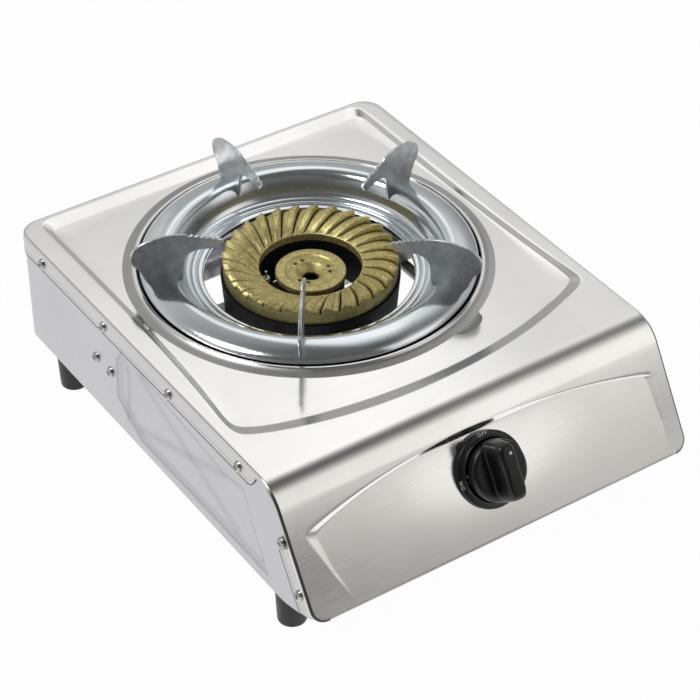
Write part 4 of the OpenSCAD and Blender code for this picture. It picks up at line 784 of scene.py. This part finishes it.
def finShape(angle):
    # The outline at six levels across the plate, inset at the outer ones, turned to its place round the axis
    k, half = fin["round"], fin["thick"] / 2
    levels = [(half, k), (half - 0.16, 0.16), (half - k, 0), (k - half, 0), (0.16 - half, 0.16), (-half, k)]
    n = len(finOutline)
    a = math.radians(angle)
    pts = []
    for off, by in levels:
        o = inset(finOutline, by)
        x = o[:, 0] * math.cos(a) - off * math.sin(a)
        y = o[:, 0] * math.sin(a) + off * math.cos(a)
        pts.append(np.stack([x, y, o[:, 1]], -1))
    faces = gridFaces(len(levels), n, True)
    faces.append(list(range(n)))
    faces.append(list(range((len(levels) - 1) * n, len(levels) * n))[::-1])
    # Painted highlight: the plate's faces are painted darker so that the cut edge reads bright
    return Shape().add(np.vstack(pts), faces, np.repeat([0.3, 0, 0, 0, 0, 0.3], n))


for i, angle in enumerate(fin["angles"]):
    makePiece("panFin_%d" % (i + 1), finShape(angle), looks["fin_metal"], "pan_support",
              ["pan_fin_%d" % (i + 1)], 22)
print("stage fins")

# Burner: slanted sawtooth ribs round the ring cap, z = crest(r) - fall over one rib, with a slit between ribs
burner = {
    "y": -1.9, "ribs": 28, "slant": 20, "turn": 0.9, "bore": 34.5, "edge": 58.6, "slitWide": 0.08,
    "crest": [(34.5, -4.4), (36.5, -3.3), (41, -0.4), (46, 2.2), (50, 3.6), (54, 4.2), (57, 4.05),
              (58.4, 3.6)],
    # Height over one rib, as a share: slit, steep flank, ridge, blade, step, low facet
    "rib": [(0, 0), (0.075, 0), (0.1, 0.5), (0.2, 1), (0.26, 0.99), (0.6, 0.6), (0.66, 0.3), (1, 0.04)],
    # Columns over one rib, closest at its creases
    "columns": [0, 0.035, 0.07, 0.085, 0.1, 0.13, 0.165, 0.19, 0.21, 0.25, 0.3, 0.37, 0.44, 0.51, 0.57, 0.6,
                0.63, 0.66, 0.7, 0.77, 0.85, 0.93, 0.98],
    # Radius, height and share of the ribs' fall on the rows inside and outside the crest
    "inside": [(35.2, -10, 0), (34.5, -9.6, 0), (34.5, -6, 0)],
    "outside": [(58.6, 3.2, 1), (58.6, 1.6, 0.55), (58.55, -1.2, 0.12), (58.5, -3.6, 0), (58.1, -4.1, 0),
                (58.1, -9.4, 0), (57.6, -10, 0)],
}


def ringCapShape():
    # Rows of rising radius; over each rib the height falls by (0.7 + 3.8 t)(1 - rib), t from bore to edge
    bore, edgeR, slant = burner["bore"], burner["edge"], burner["slant"]
    steps = len(burner["columns"])
    n = burner["ribs"] * steps
    u = np.tile(burner["columns"], burner["ribs"])
    saw = np.interp(u, *np.array(burner["rib"]).T)
    slit = np.where(u < burner["slitWide"], 1.0, 0.0)
    a0 = 2 * np.pi * (np.arange(n) // steps + u) / burner["ribs"] + math.radians(burner["turn"])
    crest = [(r, z, 1) for r, z in curveThrough(burner["crest"], 5)]
    rows, tones = [], []
    for r, z, share in burner["inside"] + crest + burner["outside"]:
        t = np.clip((r - bore) / (edgeR - bore), 0, 1)
        # Each rib is straight and passes the axis at the slant distance
        a = a0 + math.asin(slant / max(r, bore)) - math.asin(slant / bore)
        live = smooth((t - 0.02) / 0.1) * share
        drop = live * ((0.7 + 3.8 * t) * (1 - saw) + slit * (1.7 - 0.9 * smooth((t - 0.9) / 0.1)))
        rr = r - smooth((t - 0.84) / 0.12) * live * (0.9 * (1 - saw) + 0.9 * slit)
        rows.append(np.stack([rr * np.cos(a), rr * np.sin(a) + burner["y"], z - drop], -1))
        # Painted shadow: slits painted black; painted shade on the low facet before each slit and on the
        # outer skirt
        valleyShade = 0.52 * live * smooth((u - 0.84) / 0.13)
        tones.append(np.where(slit * live > 0.3, 1.0, np.maximum(valleyShade, 0.4 if z < 3 and r > 57.5 else 0.0)))
    return Shape().add(np.vstack(rows), gridFaces(len(rows), n, True, True), np.concatenate(tones))


makePiece("ringCap", ringCapShape(), looks["cap_brass"], "ring_cap", ["burner_cap_ring"], 24)

# Centre cap: a dished disc with a funnel and three pairs of small pits
centreCap = {
    "pairs": (97, 216, 335.5), "spread": 13.5, "pitR": 12.8, "turns": 300,
    "funnel": [(5, -16.5), (5.2, -15.2), (7, -12.6), (9.5, -10.2), (10.8, -9.7)],
    "rest": [(16.4, -9.55), (17, -9.1), (17.6, -8.7), (18.3, -8.6), (20, -8.6), (22.6, -8.6), (23.3, -8.75),
             (23.7, -9.2), (23.8, -9.9), (23.8, -12.6), (18.6, -12.6), (18.6, -15.6), (16.6, -15.6),
             (16.6, -12), (10.5, -12), (6, -16.6)],
}


def centreCapShape():
    # The profile turned round; each pit is a low rim less a deeper hole, eased by the distance to its middle
    profile = curveThrough(centreCap["funnel"], 3).tolist()
    profile += [(r, -9.6) for r in np.arange(11.2, 16, 0.35)] + centreCap["rest"]
    pts, faces = revolve(profile, centreCap["turns"], True)
    # Painted shadow: the funnel's bottom is painted near black
    tone = np.where(np.hypot(pts[:, 0], pts[:, 1]) < 5.4, 0.9, 0.0)
    tone = np.maximum(tone, np.where(pts[:, 2] < -9.4, 0.06, 0))
    for pair in centreCap["pairs"]:
        for s in (-centreCap["spread"], centreCap["spread"]):
            b = math.radians(pair + s)
            pitX, pitY = centreCap["pitR"] * math.cos(b), centreCap["pitR"] * math.sin(b)
            d = np.hypot(pts[:, 0] - pitX, pts[:, 1] - pitY)
            top = pts[:, 2] > -10.3
            pts[:, 2] += np.where(top, 0.3 * smooth((2.5 - d) / 0.5), 0)
            pts[:, 2] -= np.where(top, 1.9 * smooth((1.4 - d) / 0.4), 0)
            # Painted shadow: each pit's hole is painted black
            tone = np.maximum(tone, np.where(top & (d < 1.15), 1.0, 0))
    pts[:, 1] += burner["y"]
    return Shape().add(pts, faces, tone)


makePiece("centreCap", centreCapShape(), looks["cap_brass"], "centre_cap", ["burner_cap_centre"],
          35)
print("stage burner caps")


def onSlope(points):
    # Knob and dial are drawn on the slope: y up the slope, z out of it
    p = np.asarray(points, dtype=float).reshape(-1, 3)
    return slopePoint(p[:, 0], cover["dialS"] - p[:, 1], p[:, 2])


knob = {
    "r": 19.9, "halfWide": 7.4, "halfLong": 18.8, "power": 3.6, "pinch": 0.14,
    "skirt": [(0, 12.2), (6, 12.3), (14, 12.4), (17, 12.35), (18.6, 12), (19.5, 11.1), (19.85, 9.8),
              (19.9, 6), (19.6, 5.1), (18.6, 5), (18, 5.4), (17.8, 10), (6, 10), (0, 10)],
    # Grip: height, more half width, more half length
    "grip": [(11, 2.4, 1), (12.4, 2, 1), (13.2, 1.3, 0.9), (14.6, 0.9, 0.8), (17, 0.6, 0.6), (20.5, 0.1, 0.2),
             (23.3, -0.3, -0.4), (25, -0.7, -0.9), (26, -1.3, -1.6), (26.6, -2, -2.4), (26.9, -2.8, -3.3),
             (27, -3.8, -4.5)],
    "dot": (1.7, 11.9, 26.99), "dotR": 1.15,
}


def gripLoop(level, wide, long, n=96):
    # Rounded bar: |x/w|^p + |y/l|^p = 1, pinched a little in the middle and kept inside the skirt
    a = np.linspace(0, 2 * np.pi, n, endpoint=False)
    c, s = np.cos(a), np.sin(a)
    k = (np.abs(c) ** knob["power"] + np.abs(s) ** knob["power"]) ** (-1 / knob["power"])
    y = long * s * k
    x = wide * c * k * (1 - knob["pinch"] * (1 - (y / long) ** 2) ** 2)
    over = np.maximum(1, np.hypot(x, y) / (knob["r"] - 0.05))
    return np.stack([x / over, y / over, np.full(n, float(level))], -1)


skirt, skirtFaces = revolve(knob["skirt"], 120)
gripRows = [gripLoop(z, knob["halfWide"] + w, knob["halfLong"] + l) for z, w, l in knob["grip"]]
gripN = len(gripRows[0])
gripFaces = gridFaces(len(gripRows), gripN, True)
gripFaces.append(list(range((len(gripRows) - 1) * gripN, len(gripRows) * gripN)))
gripFaces.append(list(range(gripN))[::-1])
knobShape = Shape().add(onSlope(skirt), skirtFaces).add(onSlope(np.vstack(gripRows)), gripFaces)
makePiece("knobCap", knobShape, looks["knob_plastic"], "knob", ["knob"], 62)

# Dial: a flat ring with a raised collar, and a locating lug at its upper left, a half-round plate
dial = {
    "profile": [(13.2, -2.6), (24.7, -2.6), (24.8, -2.2), (24.8, 0.5), (24.6, 1), (24.1, 1.3), (23.4, 1.42),
                (22.2, 1.5), (21.8, 1.7), (21.55, 2.3), (21.4, 3.2), (21.1, 3.75), (20.75, 3.9), (20.4, 3.7),
                (20.25, 3.2), (20.25, 0.6), (19.8, 0.3), (13.6, 0.3), (13.2, 0)],
    "lugTurn": 124, "lugFrom": 20, "lugAt": 23.6, "lugLong": 3.4, "lugHalf": 4.6,
    "lugLevels": [(1, -3), (1, -0.9), (0.99, -0.6), (0.97, -0.5)],  # scale, height
}
dialPts, dialFaces = revolve(dial["profile"], 128, True)
lugA = np.radians(np.linspace(-90, 90, 25))
lugRound = np.stack([dial["lugAt"] + dial["lugLong"] * np.cos(lugA), dial["lugHalf"] * np.sin(lugA)], -1)
lugPlan = np.vstack([[(dial["lugFrom"], -dial["lugHalf"])], lugRound, [(dial["lugFrom"], dial["lugHalf"])]])
turn = math.radians(dial["lugTurn"])
lugXY = lugPlan @ np.array([[math.cos(turn), math.sin(turn)], [-math.sin(turn), math.cos(turn)]])
lugN = len(lugXY)
lugRows = [np.hstack([lugXY * k, np.full((lugN, 1), z)]) for k, z in dial["lugLevels"]]
lugFaces = gridFaces(4, lugN, True) + [list(range(3 * lugN, 4 * lugN)), list(range(lugN))[::-1]]
dialShape = Shape().add(onSlope(dialPts), dialFaces).add(onSlope(np.vstack(lugRows)), lugFaces)
makePiece("dialRing", dialShape, looks["dial_plastic"], "stove", ["dial_ring"], 40)

# Spring under the dial: a coil between the valve and the washer, drawn at one length; the real one grows
# shorter as the knob goes in
spring = {"low": -4.4, "high": 2.5, "r": 6, "wire": 0.35, "turns": 4, "push": 3}
coilT = np.linspace(0, 1, 193)
coilA = 2 * np.pi * spring["turns"] * coilT
coilZ = spring["low"] + spring["wire"] + (spring["high"] - spring["low"] - 2 * spring["wire"]) * coilT
wireA = np.linspace(0, 2 * np.pi, 8, endpoint=False)
coilR = spring["r"] + spring["wire"] * np.cos(wireA)[None, :]
coilPts = np.stack([coilR * np.cos(coilA)[:, None], coilR * np.sin(coilA)[:, None],
                    coilZ[:, None] + spring["wire"] * np.sin(wireA)[None, :]], -1).reshape(-1, 3)
coilFaces = gridFaces(len(coilT), 8, True)
coilFaces += [list(range(8))[::-1], list(range(8 * (len(coilT) - 1), 8 * len(coilT)))]
coilShape = Shape().add(onSlope(coilPts), coilFaces)
coil = makePiece("springCoil", coilShape, looks["zinc_steel"], "stove", ["spindle_spring"], 50)
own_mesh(coil)

# White dot at the head of the grip
dotR = knob["dotR"]
dotPts, dotFaces = revolve([(0, 0.12), (dotR * 0.7, 0.11), (dotR, 0), (dotR, -0.3), (0, -0.3)], 28)
dotShape = Shape().add(onSlope(dotPts + np.array(knob["dot"])), dotFaces)
makePiece("knobDot", dotShape, printWhite, "knob")

words = {"size": 3.3, "radius": 23.15, "level": 1.47, "thick": 0.06, "bold": 0.018, "spacing": 1.35}


def lettering(name, text, angle):
    # Generic words on the dial, read from its middle
    data = bpy.data.curves.new(name + "Curve", "FONT")
    data.body = text
    data.size = words["size"]
    data.align_x, data.align_y = "CENTER", "CENTER"
    data.extrude = words["thick"]
    data.offset = words["bold"] * words["size"]
    data.space_character = words["spacing"]
    holder = bpy.data.objects.new(name + "Holder", data)
    scene.collection.objects.link(holder)
    flatWord = bpy.data.meshes.new_from_object(holder.evaluated_get(bpy.context.evaluated_depsgraph_get()))
    bpy.data.objects.remove(holder)
    bpy.data.curves.remove(data)
    co = np.empty(3 * len(flatWord.vertices), dtype=np.float32)
    flatWord.vertices.foreach_get("co", co)
    co = co.astype(float).reshape(-1, 3)
    faces = [list(p.vertices) for p in flatWord.polygons]
    bpy.data.meshes.remove(flatWord)
    a = math.radians(angle - 90)
    up = co[:, 1] + words["radius"]
    pts = np.stack([co[:, 0] * math.cos(a) - up * math.sin(a), co[:, 0] * math.sin(a) + up * math.cos(a),
                    co[:, 2] + words["level"]], -1)
    makePiece(name, Shape().add(onSlope(pts), faces), printWhite, "stove", weld=0.0005)


lettering("wordOff", "OFF", 88)
lettering("wordOn", "ON", 184)
print("stage knob")

# Feet: moulded bushes with a rounded lip and a screw well
footProfile = [(2.3, -13.2), (5, -13.2), (5, -24.6), (5.4, -25), (8.6, -25), (9.3, -24.7), (9.5, -24),
               (9.55, -22), (9.7, -20), (9.95, -14), (10.2, -7), (10.45, -1), (10.3, -0.2), (9.8, 0),
               (2.3, 0)]
for n in ("foot_front_left", "foot_front_right", "foot_rear_left", "foot_rear_right"):
    lo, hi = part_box(n)
    pts, faces = revolve(footProfile, 64, True)
    pts = pts + np.array([(lo.x + hi.x) * 500, (lo.y + hi.y) * 500 - axisY, hi.z * 1000 - flatTop])
    footShape = Shape().add(pts, faces)
    makePiece(n.replace("foot_", "bush_"), footShape, looks["foot_rubber"], "stove", [n], 40)
print("stage feet")

# Looks for the nodes that stay
byNode = {
    "panel_steel": ["rear_panel"],
    "zinc_steel": ["burner_bracket", "valve_bracket", "air_shutter_ring", "air_shutter_centre",
                   "spring_washer"],
    "screw_steel": ["cover_screws", "bracket_screws", "rear_screws", "burner_screws", "foot_screws",
                    "valve_screws", "leg_screw"],
    "burner_iron": ["burner_body"],
    "igniter_glaze": ["igniter_ceramic"],
    "lead_cover": ["igniter_lead"],
    "piezo_plastic": ["piezo_igniter"],
    "valve_alloy": ["gas_valve", "valve_cap"],
    "fitting_brass": ["valve_plug", "nozzle_ring", "nozzle_centre", "pipe_nuts", "inlet_nipple", "inlet_nut"],
    "spindle_steel": ["valve_spindle", "igniter_pin"],
    "pipe_metal": ["feed_pipe"],
}
for look, names in byNode.items():
    for n in names:
        for s in nodes[n].material_slots:
            s.material = looks[look]

# World: a studio of soft panels. Each list gives the brightness by the angle from overhead, minus behind
# the stove and plus in front; "across" says at which share of the way from left to right each list holds
studio = {
    "farLeft": [(-180, 0.5), (-110, 0.6), (-8, 0.6), (8, 0.4), (40, 0.25), (90, 0.15), (180, 0.3)],
    "left": [(-180, 0.35), (-90, 0.42), (-62, 0.6), (-48, 0.5), (-36, 0.36), (-15, 0.13), (20, 0.1),
             (45, 0.16), (90, 0.1), (180, 0.3)],
    "middle": [(-180, 0.38), (-90, 0.4), (-58, 0.42), (-52, 0.66), (-47, 0.95), (-24, 1.0), (-19, 0.8),
               (-13, 0.46), (-8, 0.22), (0, 0.08), (8, 0.11), (15, 0.22), (21, 0.4), (27, 0.62), (33, 0.74),
               (66, 0.8), (71, 0.8), (72.6, 0.72), (73.2, 0.6), (73.8, 0.45), (74.4, 0.33), (75.4, 0.25),
               (77, 0.19), (79, 0.16), (82, 0.35), (85, 0.9), (94, 0.98), (180, 0.35)],
    "centre": [(-180, 0.38), (-90, 0.4), (-59, 0.42), (-53, 0.66), (-48, 1.1), (-24, 1.1), (-19, 0.8),
               (-13, 0.4), (-7, 0.2), (0, 0.13), (8, 0.2), (15, 0.38), (21, 0.6), (27, 0.82), (33, 0.9),
               (66, 0.94), (71, 0.92), (72.6, 0.84), (73.5, 0.72), (74.2, 0.57), (75, 0.41), (75.8, 0.33),
               (77, 0.27), (90, 0.15), (180, 0.4)],
    "right": [(-180, 0.38), (-90, 0.4), (-59, 0.42), (-53, 0.5), (-47, 0.72), (-27, 0.75), (-20, 0.5),
              (-14, 0.3), (-7, 0.2), (0, 0.22), (8, 0.42), (15, 0.64), (21, 0.85), (27, 0.95), (38, 0.98),
              (66, 0.98), (71, 0.95), (72.5, 0.88), (73.5, 0.79), (74.3, 0.68), (75.2, 0.56), (76, 0.46),
              (77.5, 0.38), (90, 0.28), (180, 0.4)],
    "farRight": [(-180, 0.25), (-80, 0.25), (-30, 0.42), (0, 0.45), (40, 0.4), (75, 0.22), (90, 0.18),
                 (180, 0.25)],
    "across": [("left", -0.76, -0.68), ("middle", 0.24, 0.33), ("centre", 0.39, 0.44), ("right", 0.45, 0.5),
               ("farRight", 0.66, 0.84)],
    "warm": (1.0, 0.975, 0.95),  # tint of the light from in front
    "sun": 1.1, "sunAngle": 24, "sunWay": (0.42, -0.22, -0.86),
}
world = bpy.data.worlds.new("studio")
scene.world = world
world.use_nodes = True
wt = world.node_tree
background = wt.nodes["Background"]
way = addNode(wt, "ShaderNodeTexCoord")
split = addNode(wt, "ShaderNodeSeparateXYZ", {0: (way, 0)})
minusY = addNode(wt, "ShaderNodeMath", {0: (split, 1), 1: -1.0}, operation="MULTIPLY")
tilt = addNode(wt, "ShaderNodeMath", {0: (minusY, 0), 1: (split, 2)}, operation="ARCTAN2")
part = addNode(wt, "ShaderNodeMapRange", {0: (tilt, 0), 1: -math.pi, 2: math.pi, 3: 0.0, 4: 1.0})


def skyRamp(name):
    # One list as a ramp over the whole circle: stop = (degrees + 180) / 360
    stops = []
    for deg, level in studio[name]:
        tint = studio["warm"] if deg > 0 else (1, 1, 1)
        stops.append(((deg + 180) / 360, (*(level * c for c in tint), 1)))
    return ramp(wt, part, 0, stops)


sky = (skyRamp("farLeft"), 0)
for name, x0, x1 in studio["across"]:
    share = addNode(wt, "ShaderNodeMapRange", {0: (split, 0), 1: x0, 2: x1, 3: 0.0, 4: 1.0},
                    interpolation_type="SMOOTHSTEP")
    sky = mixColours(wt, sky, (skyRamp(name), 0), (share, 0), "MIX")
wt.links.new(sky[0].outputs[sky[1]], background.inputs[0])
background.inputs[1].default_value = 1

sunData = bpy.data.lights.new("sun", "SUN")
sunData.energy = studio["sun"]
sunData.angle = math.radians(studio["sunAngle"])
sun = bpy.data.objects.new("sun", sunData)
sun.rotation_euler = Vector(studio["sunWay"]).to_track_quat("-Z", "Y").to_euler()
scene.collection.objects.link(sun)

# Floor: white paper. Seen directly or in metal it is mostly its own white, so that the shadow stays light
paper = {"half": 6, "white": "f6f6f6", "rough": 0.9, "own": 0.97}
h = paper["half"]
floorMesh = bpy.data.meshes.new("floor")
floorMesh.from_pydata([(-h, -h, 0), (h, -h, 0), (h, h, 0), (-h, h, 0)], [], [(0, 1, 2, 3)])
floor = bpy.data.objects.new("floor", floorMesh)
scene.collection.objects.link(floor)
floorLook, ft, floorShader = newMaterial("floorPaper")
floorShader.inputs["Base Color"].default_value = linear(paper["white"])
floorShader.inputs["Roughness"].default_value = paper["rough"]
ray = addNode(ft, "ShaderNodeLightPath")
rays = {0: (ray, "Is Camera Ray"), 1: (ray, "Is Glossy Ray")}
seen = addNode(ft, "ShaderNodeMath", rays, operation="MAXIMUM")
seen = addNode(ft, "ShaderNodeMath", {0: (seen, 0), 1: (ray, "Is Transmission Ray")}, operation="MAXIMUM")
own = addNode(ft, "ShaderNodeMath", {0: (seen, 0), 1: paper["own"]}, operation="MULTIPLY")
glow = addNode(ft, "ShaderNodeEmission", {0: (1, 1, 1, 1), 1: 1.0})
both = addNode(ft, "ShaderNodeMixShader", {0: (own, 0), 1: (floorShader, 0), 2: (glow, 0)})
ft.links.new(both.outputs[0], ft.nodes["Material Output"].inputs[0])
floorMesh.materials.append(floorLook)
print("stage studio")
